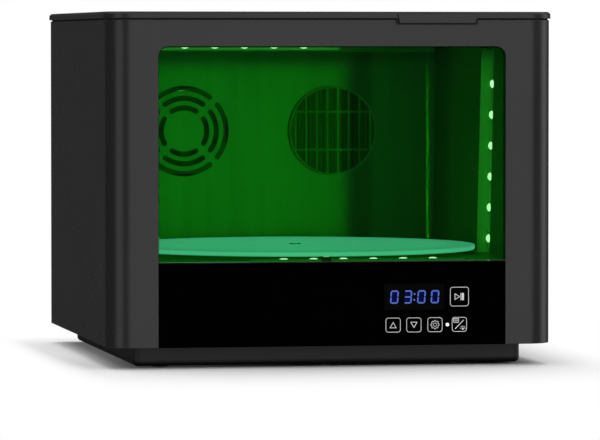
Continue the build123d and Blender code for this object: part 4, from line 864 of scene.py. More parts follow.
def stood(across: np.ndarray, along: np.ndarray, up: np.ndarray, axis: str, at: Place) -> np.ndarray:
    """Stand a round form on its foot.

    Args:
        across: First flat part of each point.
        along: Second flat part.
        up: Height of each point, or of each ring.
        axis: One of "+x", "-x", "+y", "-y", "+z" and "-z": the way that height runs.
        at: Foot of the axis, in millimetres.

    Returns:
        The points, in metres.
    """
    up = np.broadcast_to(up, across.shape) * (1 if axis[0] == "+" else -1)
    order = {"x": (up, across, along), "y": (across, up, along), "z": (across, along, up)}[axis[1]]
    return (np.stack(order, axis=-1) + np.array(at)) * MM


def turned(profile: np.ndarray, count: int, axis: str, at: Place) -> np.ndarray:
    """Turn a profile about an axis.

    The point at share t of the turn and place s of the profile lies at radius r(s), at the angle of t, and at
    height h(s) along the axis.

    Args:
        profile: Radius and height of each place, n by 2.
        count: Points round the turn.
        axis: The way that height runs, as for stood.
        at: Foot of the axis, in millimetres.

    Returns:
        A loft of n rings, in metres.
    """
    return stood(*ringed(profile[:, :1], count), profile[:, 1:], axis, at)


# ---------------------------------------------------------------- sub-assemblies
@dataclass
class SubAssembly:
    """A group of pieces.

    Its first table names the solids that get soft edges, with body, width, finish and perhaps the finish
    of the edges. Its second table names those that get a finish only.
    """

    SOFT_ANGLE: ClassVar[float] = math.radians(32.0)
    SHARP_ANGLE: ClassVar[float] = math.radians(38.0)
    FLAT_ANGLE: ClassVar[float] = math.radians(0.6)
    SOLID_MERGE: ClassVar[float] = 2e-6
    LOFT_MERGE: ClassVar[float] = 1e-7

    finishes: dict[str, Material]
    soft: Softened = ()
    plain: Dressed = ()

    def build(self) -> None:
        """Dress the solids of both tables, then add the group's own pieces."""
        for nodes, *row in self.soft:
            for node in nodes.split():
                self.soften(node, *row)
        for finish, nodes in self.plain:
            for node in nodes.split():
                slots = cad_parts[node].data.materials
                slots.clear()
                slots.append(self.finishes[finish])
                LOG.info("finish %s on %s", finish, node)
        self.add_pieces()

    def add_pieces(self) -> None:
        """Add the pieces that the group makes itself; a group may have none."""

    def soften(self, node: str, body: str, width: float, finish: str, edge: str = "") -> None:
        """Copy a solid, merge its corners, round its sharp edges and let the copy replace it.

        Args:
            node: Name of the solid's node.
            body: Body that carries it.
            width: Width of the rounded edges, in millimetres.
            finish: Its finish.
            edge: Finish of the rounded edges, if it is another one.
        """
        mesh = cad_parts[node].data.copy()
        bm = bmesh.new()
        bm.from_mesh(mesh)
        bmesh.ops.remove_doubles(bm, verts=bm.verts, dist=self.SOLID_MERGE)
        whole = {"verts": bm.verts, "edges": bm.edges}
        bmesh.ops.dissolve_limit(bm, angle_limit=self.FLAT_ANGLE, delimit={"NORMAL"}, **whole)
        bm.to_mesh(mesh)
        bm.free()
        mesh.materials.clear()
        mesh.materials.append(self.finishes[finish])
        mesh.shade_smooth()
        mesh.set_sharp_from_angle(angle=self.SOFT_ANGLE)
        piece = add_object(f"{node}_soft", mesh)
        bevel = piece.modifiers.new("soft_edge", "BEVEL")
        bevel.width = width * MM
        bevel.segments = 2
        bevel.limit_method = "ANGLE"
        bevel.angle_limit = self.SOFT_ANGLE
        if edge:
            mesh.materials.append(self.finishes[edge])
            bevel.material = 1
        piece.modifiers.new("flat_faces", "WEIGHTED_NORMAL").keep_sharp = True
        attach(piece, body)
        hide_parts(node)
        LOG.info("soft edges on %s: %d faces before rounding", node, len(mesh.polygons))

    def make(
        self, name: str, lofts: list, finish: str, body: str = "housing", node: str = "", hoops: bool = False
    ) -> bpy.types.Mesh:
        """Make one piece from lofts.

        Args:
            name: Name of the piece.
            lofts: Arrays of rings, points round the ring, and 3, in metres.
            finish: Its finish.
            body: Body that carries it.
            node: Node that it stands for, if any.
            hoops: Whether the last ring of each loft joins its first.

        Returns:
            The piece's mesh.
        """
        corners, faces, start = [], [], 0
        for loft in lofts:
            grid = np.concatenate([loft, loft[:1]]) if hoops else loft
            rings, count = grid.shape[:2]
            corners.append(grid.reshape(-1, 3))
            faces += loft_faces(rings, count, start, not hoops)
            start += rings * count
        mesh = bpy.data.meshes.new(name)
        mesh.from_pydata(np.concatenate(corners).tolist(), [], faces)
        mesh.materials.append(self.finishes[finish])
        bm = bmesh.new()
        bm.from_mesh(mesh)
        bmesh.ops.remove_doubles(bm, verts=bm.verts, dist=self.LOFT_MERGE)
        bmesh.ops.recalc_face_normals(bm, faces=bm.faces)
        bm.to_mesh(mesh)
        bm.free()
        mesh.shade_smooth()
        mesh.set_sharp_from_angle(angle=self.SHARP_ANGLE)
        piece = add_object(name, mesh)
        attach(piece, body)
        if node:
            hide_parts(node)
        LOG.info("piece %s: %d faces, rides on %s", name, len(mesh.polygons), body)
        return mesh


@dataclass(frozen=True)
class Screw:
    """A screw head that stands on a face.

    The head is a dome turned about its axis, with the height's share at the rim, and the rest times the
    square root of one less the squared share of the radius. A cross pushes its top in, where either flat
    part is within the half slot.
    """

    radius: float = 2.9
    height: float = 1.6
    recess: float = 1.1
    half_slot: float = 0.42
    reach: float = 0.62
    rim: float = 0.35
    shoulder: float = 0.93
    tip: float = 0.05
    sunk: float = 0.3
    rings: int = 9
    count: int = 24

    def surface(self, axis: str, at: Place) -> np.ndarray:
        """Work out the head's rings.

        Args:
            axis: The way the head faces.
            at: Foot of the head on its seat, in millimetres.

        Returns:
            A loft, in metres.
        """
        top = np.linspace(self.radius * self.shoulder, self.tip, self.rings)
        radius = np.concatenate([[self.radius, self.radius], top])
        dome = self.rim + (1 - self.rim) * np.sqrt(1 - (top / self.radius) ** 2)
        up = np.concatenate([[-self.sunk, self.height * self.rim], self.height * dome])[:, None]
        across, along = ringed(radius[:, None], self.count)
        slots = np.minimum(np.abs(across), np.abs(along)) < self.half_slot
        inside = slots & (np.hypot(across, along) < self.radius * self.reach)
        up = np.where(inside, np.minimum(up, self.height - self.recess), up)
        return stood(across, along, up, axis, at)

    def row(self, axis: str, spots: list[Place]) -> list[np.ndarray]:
        """Give equal heads on their seats."""
        return [self.surface(axis, spot) for spot in spots]


@dataclass
class Housing(SubAssembly):
    """Painted outer panels with the base, feet and bottom pan."""

    soft: Softened = (
        # The front frame's rounded edges take a paler paint as a painted highlight.
        ("front_frame", "housing", 0.5, "graphite_paint", "graphite_paint_edge"),
        ("left_side_panel right_side_panel rear_panel", "housing", 0.5, "graphite_paint"),
        ("base_plinth", "housing", 0.8, "black_moulding"),
    )
    plain: Dressed = (("zinc_plated_sheet", "bottom_pan top_deck"), ("foot_rubber", "rubber_feet"))

    screw: Screw = Screw()
    rear_inset: Place = (9.0, 9.0, 26.0)
    rear_rows: int = 4
    base_inset: Pair = (62.0, 30.0)
    ledge_margin: float = 0.0005
    pane_depth: float = 0.0008

    def add_pieces(self) -> None:
        """Line the window's ledge and set the screws of the rear panel and the base."""
        self._line_ledge()
        low, high, _ = box_mm("rear_panel")
        side, bottom, top = self.rear_inset
        heights = np.linspace(low[2] + bottom, high[2] - top, self.rear_rows)
        spots = [(x, high[1], z) for x in (low[0] + side, high[0] - side) for z in heights]
        self.make("rear_panel_screws", self.screw.row("+y", spots), "black_nylon")
        low, high, middle = box_mm("base_plinth")
        (x, y, _), half = middle, (high - low)[:2] / 2 - self.base_inset
        spots = [(x + i * half[0], y + j * half[1], low[2]) for i in (-1, 0, 1) for j in (-1, 1)]
        self.make("base_screws", self.screw.row("-z", spots), "ground_steel")

    def _line_ledge(self) -> None:
        """Give the window's ledge, behind the pane, a paler paint instead of the outer paint.

        A face takes the paler paint where its middle lies behind the pane, within the pane's outline.
        """
        mesh = bpy.data.objects["front_frame_soft"].data
        low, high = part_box("window_pane")
        x, y, z = face_middles(mesh)
        within = (np.abs(x) < high.x + self.ledge_margin) & (z > low.z) & (z < high.z + self.ledge_margin)
        behind = within & (y > low.y + self.pane_depth)
        mesh.materials.append(self.finishes["ledge_paint"])
        mesh.polygons.foreach_set("material_index", np.where(behind, len(mesh.materials) - 1, 0))


@dataclass
class Window(SubAssembly):
    """Tinted sheet in the front opening."""

    soft: Softened = (("window_pane", "housing", 0.25, "green_acrylic"),)


class Mark(Enum):
    """Pictograms of the touch keys."""

    UP = "up"
    DOWN = "down"
    PROGRAM = "program"
    MODE = "mode"
    START = "start"


@dataclass
class ControlPanel(SubAssembly):
    """Gloss fascia with its display digits and printed touch keys."""

    soft: Softened = (("control_fascia", "housing", 0.2, "gloss_black_panel"),)
    plain: Dressed = (
        ("smoked_display_window", "display_window"),
        ("black_nylon", "display_module"),
        ("circuit_board", "control_board"),
        ("touch_copper", "touch_pads"),
    )
    LIT = {"0": "abcdef", "3": "abcdg"}
    SEGMENTS = {
        "a": (0, 1), "b": (1, 0.5), "c": (1, -0.5), "d": (0, -1),
        "e": (-1, -0.5), "f": (-1, 0.5), "g": (0, 0),
    }

    line: float = 0.5
    sign_line: float = 0.58
    key_size: Pair = (15.2, 14.6)
    start_size: Pair = (19.1, 19.3)
    key_corner: float = 2.6
    key_steps: Pair = (21.1, 42.6)
    pad_half: float = 5.0
    indicator: Pair = (3.5, 12.2)
    digit_size: Pair = (8.3, 13.2)
    digit_line: float = 1.4
    digit_gap: float = 0.12
    slant: float = 0.065
    digit_places: tuple[float, ...] = (10.2, 23.9, 37.7, 51.5)
    colon_place: float = 30.5
    colon_rise: float = 2.95
    dot: float = 1.7
    text: str = "0300"

    def add_pieces(self) -> None:
        """Lay the digits and the key marks on the fascia."""
        self._digits()
        self._keys()

    def _segment(self, name: str) -> np.ndarray:
        """Give the six-sided outline of one display segment about the digit's middle.

        Args:
            name: Letter of the segment, a to g, clockwise from the top with g in the middle.

        Returns:
            Points, 6 by 2.
        """
        half = (np.array(self.digit_size) - self.digit_line) / 2
        middle = self.SEGMENTS[name] * half
        on_end = middle[0] != 0
        end = (half[1] if on_end else 2 * half[0]) / 2 - self.digit_gap
        half_line = self.digit_line / 2
        shoulder = end - half_line
        x = np.array([end, shoulder, -shoulder, -end, -shoulder, shoulder])
        y = half_line * np.array([0, 1, 1, 0, -1, -1])
        shape = np.stack([-y, x] if on_end else [x, y], axis=-1) + middle
        shape[:, 0] += self.slant * shape[:, 1]
        return shape

    def _digits(self) -> None:
        """Lay the lit segments and the colon on the display window."""
        low, _, middle = box_mm("display_window")
        lofts = []
        for character, place in zip(self.text, self.digit_places):
            parts = [slab(self._segment(name)) for name in self.LIT[character]]
            lofts += placed(parts, low[0] + place, low[1], middle[2])
        for height in (-self.colon_rise, self.colon_rise):
            dot = rounded_outline(self.dot, self.dot, 0.5, 3, (self.slant * height, height))
            lofts += placed([slab(dot)], low[0] + self.colon_place, low[1], middle[2])
        self.make("display_digits", lofts, "digit_glow")

    def _triangle(self, half_width: float, half_height: float, turn: int, x: float = 0.0) -> np.ndarray:
        """Give the stroke of a triangle, turned by quarter turns from pointing up, and moved across."""
        corners = np.array([[-half_width, -half_height], [half_width, -half_height], [0.0, half_height]])
        return stroke(spun(corners, turn * math.pi / 2) + np.array([x, 0.0]), self.sign_line)

    def _mark(self, mark: Mark) -> tuple[list[np.ndarray], list[np.ndarray]]:
        """Give a key's pictogram about the key's middle.

        The cog's radius is 3.8 plus half the hyperbolic tangent of 2.5 times the cosine of eight times the
        angle.

        Args:
            mark: Which pictogram.

        Returns:
            Its closed strokes and its slabs.
        """
        if mark is Mark.UP:
            return [self._triangle(3.1, 2.7, 0)], []
        if mark is Mark.DOWN:
            return [self._triangle(3.1, 2.7, 2)], []
        if mark is Mark.PROGRAM:
            wave = np.tanh(2.5 * ringed(np.ones(1), 12)[0])
            cog = np.stack(ringed(3.8 + 0.5 * np.tile(wave, 8), 96), axis=-1)
            ring = np.stack(ringed(np.array(1.7), 96), axis=-1)
            return [stroke(cog, 0.45), stroke(ring, 0.4)], []
        if mark is Mark.START:
            bars = [rounded_outline(width, 7.2, 0.2, 3, (x, 0.0)) for width, x in ((0.9, 1.6), (1.9, 3.6))]
            return [self._triangle(2.9, 2.35, 3, -2.2)], [slab(bar) for bar in bars]
        lamp, sun = (-3.4, 4.0), (3.5, -4.4)
        outlines = [spun(rounded_outline(12.4, 0.75, 0.3, 3), 0.79)]
        outlines += [rounded_outline(0.55, 2.0, 0.15, 3, (lamp[0] + x, lamp[1])) for x in (-1.1, 0.0, 1.1)]
        outlines.append(rounded_outline(2.0, 2.0, 0.95, 5, sun))
        ray = rounded_outline(1.5, 0.55, 0.2, 3, (2.45, 0.0))
        outlines += [spun(ray, angle) + sun for angle in np.linspace(0.25, math.pi - 0.25, 5)]
        return [stroke(rounded_outline(5.2, 3.9, 0.6, 3, lamp), 0.6)], [slab(outline) for outline in outlines]

    def _keys(self) -> None:
        """Print the key frames and pictograms over the touch pads, and the mode's indicator beside them."""
        face = box_mm("control_fascia")[0][1]
        low, high, _ = box_mm("touch_pads")
        (first, _, row), (last, _, start) = low + self.pad_half, high - self.pad_half
        second, third = (first + step for step in self.key_steps)
        keys = [(Mark.UP, first, row), (Mark.DOWN, second, row), (Mark.PROGRAM, third, row)]
        keys += [(Mark.MODE, last, row), (Mark.START, last, start)]
        hoops, slabs = [], []
        for mark, x, z in keys:
            width, height = self.start_size if mark is Mark.START else self.key_size
            outline = rounded_outline(width - self.line, height - self.line, self.key_corner)
            strokes, solids = self._mark(mark)
            hoops += placed([stroke(outline, self.line), *strokes], x, face, z)
            slabs += placed(solids, x, face, z)
        self.make("key_outlines", hoops, "printed_white_ink", hoops=True)
        self.make("key_signs", slabs, "printed_white_ink")
        size, beside = self.indicator
        dot = slab(rounded_outline(size, size, size / 2 - 0.05))
        self.make("mode_indicator", placed([dot], last - beside, face, row), "indicator_glow")


@dataclass
class Chamber(SubAssembly):
    """Sheet-metal chamber with its light strips and sensor."""

    plain: Dressed = (
        # The liners' and the back wall's aluminium carry painted shade bands.
        ("satin_aluminium", "left_liner right_liner"),
        ("folded_aluminium", "back_wall"),
        ("white_bar_moulding", "chamber_floor top_light_bar"),
        # The floor light bar's moulding has a painted glow.
        ("lit_bar_moulding", "floor_light_bar"),
        ("light_bar_lens", "top_light_lens"),
        ("white_lamp_board", "left_light_board right_light_board"),
    )
    ROWS = (("left_leds", "+x"), ("right_leds", "-x"), ("top_leds", "-z"), ("floor_leds", "+z"))

    row: int = 6
    side_rise: float = 3.0
    floor_rise: float = 1.1
    dome_steps: int = 8
    dome_sides: int = 24
    sensor_drop: float = 2.6
    sensor_lap: float = 0.7
    sensor_lens: Place = (6.0, 1.6, 0.7)
    lens_inset: float = 0.4

    def add_pieces(self) -> None:
        """Turn a smooth dome for every lamp of the four rows, and add the sensor."""
        for node, axis in self.ROWS:
            self._domes(node, axis)
        self._sensor()

    def _sensor(self) -> None:
        """Clip the dark sensor block over the floor light bar, with its small clear lens on top.

        Both are lofts of rounded rectangles, standing on the floor in front of the bar.
        """
        low, high, middle = box_mm("chamber_sensor")
        bar = box_mm("floor_light_bar")[0]
        height, front = high[2] - self.sensor_drop - bar[2], bar[1] - self.sensor_lap
        block = slab(rounded_outline(high[0] - low[0], height, 0.6, 4), high[1] - front, 0.05)
        lofts = placed([block], middle[0], high[1], bar[2] + height / 2)
        self.make("sensor_block", lofts, "grey_fan_moulding", node="chamber_sensor")
        width, depth, rise = self.sensor_lens
        lens = slab(rounded_outline(width, rise, 0.3, 4), depth)
        lofts = placed([lens], middle[0], front + depth + self.lens_inset, bar[2] + height + rise / 2)
        self.make("sensor_lens", lofts, "sensor_lens_glow")

    def _domes(self, node: str, axis: str) -> None:
        """Turn the domes of one row: the radius falls with the cosine and the height grows with the sine.

        Args:
            node: Node of the lamps.
            axis: The way that they face.
        """
        low, high, middle = box_mm(node)
        first, last = middle.copy(), middle.copy()
        radius = (high[1] - low[1]) / 2
        upward = axis[0] == "+"
        if axis[1] == "x":
            rise = self.side_rise
            first[0], last[0] = (high[0] - rise, low[0]) if upward else (low[0] + rise, high[0])
            first[2], last[2] = low[2] + radius, high[2] - radius
        else:
            rise = self.floor_rise if upward else high[2] - low[2]
            first[0], last[0] = low[0] + radius, high[0] - radius
            first[2] = last[2] = low[2] if upward else high[2]
        turn = np.linspace(0.0, math.pi / 2 - 0.02, self.dome_steps)
        profile = np.stack([radius * np.cos(turn), rise * np.sin(turn) / math.sin(turn[-1])], axis=-1)
        spots = first + np.linspace(0.0, 1.0, self.row)[:, None] * (last - first)
        domes = [turned(profile, self.dome_sides, axis, spot) for spot in spots]
        self.make(f"{node}_domes", domes, "lamp_dome", node=node)


@dataclass
class Turntable(SubAssembly):
    """Opal disc with its cap, hub and gear motor."""

    soft: Softened = (("turntable_disc", "turntable", 0.3, "opal_acrylic"),)
    plain: Dressed = (("ground_steel", "turntable_hub"), ("zinc_plated_sheet", "turntable_motor"))

    flange: float = 0.7
    bore: float = 0.5
    stem: float = 4.4
    button: float = 3.2
    draw: float = 0.2

    def add_pieces(self) -> None:
        """Turn the disc's cap: a steel flange on its stem, and a domed opal button in its middle.

        The button's radius falls with the cosine of an angle and its height grows with the sine.
        """
        low, high, (x, y, _) = box_mm("turntable_cap")
        disc = box_mm("turntable_disc")[1][2] - low[2]
        radius, top = (high[0] - low[0]) / 2, disc + self.flange
        stem = [(self.bore, 0.0), (self.stem, 0.0), (self.stem, disc)]
        flange = [(radius, disc), (radius - self.draw, top), (self.bore, top)]
        turn = np.linspace(0.0, math.pi / 2 - 0.04, 8)
        rise = (high[2] - low[2] - top) * np.sin(turn) / math.sin(turn[-1])
        arc = np.stack([self.button * np.cos(turn), top + rise], axis=-1)
        profiles = (np.array(stem + flange), np.concatenate([[[self.button, top - self.draw]], arc]))
        lofts = [turned(profile, 40, "+z", (x, y, low[2])) for profile in profiles]
        mesh = self.make("cap_button", lofts, "ground_steel", "turntable", "turntable_cap")
        across, along, level = face_middles(mesh) / MM
        inner = (np.hypot(across - x, along - y) < self.button + 0.01) & (level > low[2] + top + 0.001)
        mesh.materials.append(self.finishes["opal_acrylic"])
        mesh.polygons.foreach_set("material_index", inner.astype(int))


@dataclass
class Ventilation(SubAssembly):
    """Fans, grille and filter."""

    plain: Dressed = (
        ("grey_fan_moulding", "left_fan_frame right_fan_frame"),
        ("filter_fleece", "vent_filter"),
    )

    screw: Screw = Screw(2.4, 1.3, 0.9)
    hole_pitch: float = 82.5
    hub_radius: float = 18.0
    hub_bore: float = 1.6
    hub_round: float = 2.0
    blades: int = 9
    span: float = 45.0
    sweep: float = 16.0
    lean: Pair = (15.0, 10.0)
    camber: float = 1.6
    half_sheet: float = 0.5
    grille_edge: float = 0.25

    def add_pieces(self) -> None:
        """Shape the rotors, dress the grille, and screw the fans to the rear panel."""
        for side in ("left", "right"):
            self._rotor(side)
        self.soften("vent_grille", "housing", self.grille_edge, "grey_wire")
        back = box_mm("rear_panel")[1][1]
        half = self.hole_pitch / 2
        for side in ("left", "right"):
            x, _, z = box_mm(f"{side}_fan_frame")[2]
            spots = [(x + i * half, back, z + j * half) for i in (-1, 1) for j in (-1, 1)]
            self.make(f"{side}_fan_screws", self.screw.row("+y", spots), "black_nylon")

    def _rotor(self, side: str) -> None:
        """Shape a fan rotor: a rounded hub cup with wide swept blades that overlap seen from the front.

        A point of a blade at share u of the way out and place v across lies at the angle of the blade's root
        plus the sweep times u plus the span times v, and at the depth v times the lean, which falls from root
        to tip. A cosine of v lifts the middle, and half the sheet is added on either side.

        Args:
            side: Which fan.
        """
        node = f"{side}_fan_rotor"
        low, high, (x, y, z) = box_mm(node)
        root, tip = self.hub_radius - 1.0, (high[0] - low[0]) / 2 - 0.02
        out, across = np.meshgrid(np.linspace(0, 1, 9), np.linspace(-0.5, 0.5, 13), indexing="ij")
        radius = root + (tip - root) * out
        lean = self.lean[0] + (self.lean[1] - self.lean[0]) * out
        middle = y + across * lean - self.camber * np.cos(across * math.pi)
        depths = (middle - self.half_sheet, middle + self.half_sheet)
        lofts = []
        for number in range(self.blades):
            angle = np.radians(number * 360 / self.blades + self.sweep * out + self.span * across)
            side_way, up_way = x + radius * np.cos(angle), z + radius * np.sin(angle)
            back, face = (np.stack([side_way, depth, up_way], axis=-1) for depth in depths)
            lofts.append(np.concatenate([back, face[:, ::-1]], axis=1) * MM)
        height = high[1] - low[1]
        turn = np.linspace(0, math.pi / 2, 5)
        edge = self.hub_round * (np.stack([np.cos(turn), np.sin(turn)], axis=-1) - 1)
        foot = [[self.hub_bore, 0.0], [self.hub_radius, 0.0]]
        profile = np.concatenate([foot, [self.hub_radius, height] + edge, [[self.hub_bore, height]]])
        lofts.append(turned(profile, 48, "-y", (x, y + height / 2, z)))
        self.make(f"{side}_fan_blades", lofts, "grey_fan_moulding", f"{side}_fan", node)


@dataclass
class Lid(SubAssembly):
    """Hinged lid with reflector tray, seal and finger pull."""

    soft: Softened = (
        ("lid_shell", "lid", 0.4, "graphite_paint"),
        ("lid_pull", "lid", 0.3, "graphite_paint"),
    )
    plain: Dressed = (
        ("reflector_aluminium", "lid_tray"),
        ("black_nylon", "lid_switch"),
        ("ground_steel", "left_hinge_pin right_hinge_pin"),
    )

    lip_width: float = 3.0
    lip_inset: float = 2.7
    lip_corner: float = 23.7
    lip_clear: float = 0.2
    hinge_reach: float = 164.0
    seal_width: float = 4.0
    seal_corner: float = 4.0
    pull_margin: float = 1.0
    pull_backing: float = 0.6
    hinge_edge: float = 0.2

    def add_pieces(self) -> None:
        """Run the lid's seal, set a dark plate behind the finger pull as painted shade round it, and dress
        the hinges.
        """
        self._seal()
        low, high, middle = box_mm("lid_pull")
        width, _, height = high - low + 2 * self.pull_margin
        # Painted shade: a dark plate a little larger than the pull stands in for the shadow round it.
        back = slab(rounded_outline(width, height, 1.6, 5), self.pull_backing)
        lofts = placed([back], middle[0], high[1] + 0.02, middle[2])
        self.make("pull_backing", lofts, "foot_rubber", "lid")
        for side in ("left", "right"):
            self.soften(f"{side}_hinge_base", "housing", self.hinge_edge, "ground_steel")
            self.soften(f"{side}_hinge_leaf", "lid", self.hinge_edge, "ground_steel")

    def _seal(self) -> None:
        """Run the lid's rubber seal on the deck: a bead round the chamber, and a taller lip at the edge.

        Both are rectangular sections carried along closed outlines. The lip steps inward between the hinges,
        where it runs beside the lid's tray.
        """
        low, high, middle = box_mm("lid_seal")
        shell = box_mm("lid_shell")[1]
        deck = box_mm("top_deck")[1][2]
        tray = box_mm("lid_tray")[1]
        width, depth, _ = high - low - self.seal_width
        bead = rounded_outline(width, depth, self.seal_corner, at=middle[:2])
        half, reach, _ = shell - self.lip_inset - self.lip_width / 2
        inner = tray[1] + self.lip_clear + self.lip_width / 2
        hinge = self.hinge_reach
        lip = np.roll(rounded_outline(2 * half, 2 * reach, self.lip_corner), -6, axis=0)
        lip = np.concatenate([lip, [[hinge, reach], [hinge, inner], [-hinge, inner], [-hinge, reach]]])
        rows = (
            (bead, self.seal_width, low[2], high[2]),
            (lip, self.lip_width, deck, tray[2] - self.lip_clear),
        )
        lofts = []
        for outline, line, bottom, top in rows:
            lofts += placed([stroke(outline, line, top - bottom)[..., [0, 2, 1]]], 0.0, 0.0, top)
        self.make("lid_seal_run", lofts, "foot_rubber", node="lid_seal", hoops=True)


@dataclass
class Power(SubAssembly):
    """Mains inlet, switch, supply and driver board."""

    soft: Softened = (
        ("power_inlet switch_body", "housing", 0.25, "black_nylon"),
        ("power_rocker", "rocker", 0.3, "black_nylon"),
    )
    plain: Dressed = (("zinc_plated_sheet", "power_supply"), ("circuit_board", "driver_board"))


# ---------------------------------------------------------------- light, floor and camera
@dataclass(frozen=True)
class SoftBox:
    """One rectangular lamp that points at a target and shows in neither gloss nor glass."""

    name: str
    place: Place
    target: Place
    size: Pair
    power: float
    colour: Colour = (1.0, 1.0, 1.0)
    spread: float = 180.0

    def build(self) -> None:
        """Hang the lamp."""
        data = bpy.data.lights.new(self.name, "AREA")
        data.shape = "RECTANGLE"
        data.size, data.size_y = self.size
        data.energy = self.power
        data.color = self.colour
        data.spread = math.radians(self.spread)
        lamp = add_object(self.name, data)
        lamp.location = self.place
        lamp.rotation_mode = "QUATERNION"
        lamp.rotation_quaternion = (Vector(self.target) - Vector(self.place)).to_track_quat("-Z", "Y")
        lamp.visible_camera = lamp.visible_glossy = lamp.visible_transmission = False


@dataclass
class Studio:
    """Pale floor, white surroundings, soft lamps and the camera."""

    camera_place: Place = (-0.88083, -4.79117, 0.32158)
    pitch: float = 2.1537
    yaw: float = 10.5215
    lens: float = 281.10
    view_way: Place = (0.18, 0.98, 0.0)
    ambient: float = 0.75
    left_share: float = 0.55
    ceiling: float = 0.5
    hem: float = 0.1875
    panels: tuple[Pair, ...] = (
        (-180.0, 0.06), (180.0, 0.06), (-126.0, 0.07), (-112.0, 0.4), (-102.0, 1.0), (-86.0, 1.0),
        (-70.0, 0.1), (-42.0, 0.08), (-26.0, 0.84), (12.0, 0.84), (26.0, 0.12), (42.0, 0.12),
        (50.0, 0.76), (67.0, 0.76), (88.0, 0.06), (150.0, 0.03),
    )
    floor_rings: tuple[float, ...] = (0.05, 1.0, 4.0, 40.0)
    floor_sides: int = 64
    fade: Place = (0.055, 0.09, 0.4)
    lift: Pair = (0.105, 0.08)
    pale_shadow: Pair = (0.17, 0.45)

    def build(self) -> None:
        """Build everything round the object."""
        self._world()
        self._floor()
        for lamp in (*self._room_lamps(), *self._chamber_lamps()):
            lamp.build()
        self._camera()
        bpy.context.scene.view_settings.view_transform = "Standard"

    def _behind(self, graph: Graph, way: object) -> tuple[Socket, Socket]:
        """Find the background that lies behind the object, seen from the front.

        Args:
            graph: Graph of the world or the floor.
            way: Direction from the middle, of length one.

        Returns:
            How far the direction lies behind, and how far white is shown: everywhere to the camera, and
            behind the object to gloss and glass.
        """
        heading = graph.add("VectorMath", {0: way, 1: self.view_way}, operation="DOT_PRODUCT")
        behind = graph.spread(heading.outputs["Value"], 0.985, 0.996)
        camera, gloss, through = graph.rays("Camera", "Glossy", "Transmission")
        shown = graph.math("MULTIPLY", graph.math("MAXIMUM", gloss, through), behind)
        return behind, graph.math("MAXIMUM", shown, camera)

    def _world(self) -> None:
        """Light the room evenly, and show white where the camera, gloss or glass looks at the background."""
        world = bpy.data.worlds.new("studio")
        world.use_nodes = True
        bpy.context.scene.world = world
        world.node_tree.nodes.clear()
        graph = Graph(world.node_tree)
        way = graph.add("TexCoord").outputs["Generated"]
        parts = graph.add("SeparateXYZ", {0: way}).outputs
        sky = graph.spread(parts["Z"], -0.2, 0.9, self.ambient * 0.55, self.ambient)
        sky = graph.math("MULTIPLY", sky, graph.spread(parts["X"], -0.9, -0.1, self.left_share, 1.0))
        level = graph.fade(*graph.rays("Glossy"), sky, self._gloss_room(graph, parts))
        strength = graph.fade(self._behind(graph, way)[1], level, 1.0)
        light = graph.add("Background", {"Color": (1.0, 1.0, 1.0), "Strength": strength})
        graph.add("OutputWorld", {"Surface": light})

    def _gloss_room(self, graph: Graph, parts: Sockets) -> Socket:
        """Give the room that gloss sees: soft upright panels round a dark studio, and a mild ceiling.

        Args:
            graph: Graph of the world.
            parts: The three parts of the direction.

        Returns:
            The level in each direction.
        """
        left, ahead = (graph.math("MULTIPLY", parts[axis], -1.0) for axis in "XY")
        turn = graph.math("MULTIPLY", graph.math("ARCTAN2", left, ahead), 1.0 / math.tau)
        ramp = graph.add("ValToRGB", {0: graph.math("ADD", turn, 0.5)})
        ramp.color_ramp.interpolation = "EASE"
        stops = ramp.color_ramp.elements
        for number, (bearing, level) in enumerate(self.panels):
            position = 0.5 + bearing / 360.0
            stop = stops[number] if number < 2 else stops.new(position)
            stop.position = position
            stop.color = (level, level, level, 1.0)
        walls = graph.math("MULTIPLY", ramp.outputs[0], graph.spread(parts["Z"], -0.55, -0.2, 0.05, 1.0))
        return graph.fade(graph.spread(parts["Z"], 0.35, 0.8), walls, self.ceiling)

    def _past(self, graph: Graph, parts: Sockets, half: Pair, runs: tuple[float, ...]) -> Socket:
        """Measure how far a place on the floor lies past a rectangle, on each side in shares of a run.

        Args:
            graph: Graph of the floor.
            parts: The three parts of the place.
            half: Half sizes of the rectangle.
            runs: Runs to the left, right, front and back.

        Returns:
            The square root of the sum of both squares.
        """
        squares = []
        for axis, reach, pair in (("X", half[0], runs[:2]), ("Y", half[1], runs[2:])):
            shares = []
            for way, run in zip((-1.0, 1.0), pair):
                past = graph.math("SUBTRACT", graph.math("MULTIPLY", parts[axis], way), reach)
                shares.append(graph.math("DIVIDE", graph.math("MAXIMUM", past, 0.0), run))
            squares.append(graph.math("POWER", graph.math("ADD", *shares), 2.0))
        return graph.math("SQRT", graph.math("ADD", *squares))

    def _floor(self) -> None:
        """Lay the floor: white paper that takes shadows near the object and runs out into plain white.

        It is a disc of rings, each a radius times the cosine and sine of an angle that runs round. Its shadow
        is painted paler on the left, away from the base, where only the camera sees it, and lifted by painted
        light.
        """
        x, y = ringed(np.array(self.floor_rings)[:, None], self.floor_sides)
        rings = np.stack([x, y, np.zeros_like(x)], axis=-1)
        faces = loft_faces(len(self.floor_rings), self.floor_sides, 0, False)
        mesh = bpy.data.meshes.new("floor")
        mesh.from_pydata(rings.reshape(-1, 3).tolist(), [], [*faces, list(range(self.floor_sides))])
        add_object("floor", mesh)
        graph = MaterialGraph("white_paper")
        graph.tree.nodes.remove(graph.shader)
        place = graph.place()
        parts = graph.add("SeparateXYZ", {0: place}).outputs
        camera, gloss, through = graph.rays("Camera", "Glossy", "Transmission")
        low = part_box("front_frame")[0]
        base_low, base_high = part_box("base_plinth")
        left, right, front = self.fade
        level, run = self.lift
        contact = self._past(graph, parts, (base_high.x, -base_low.y), (run, run, run, run))
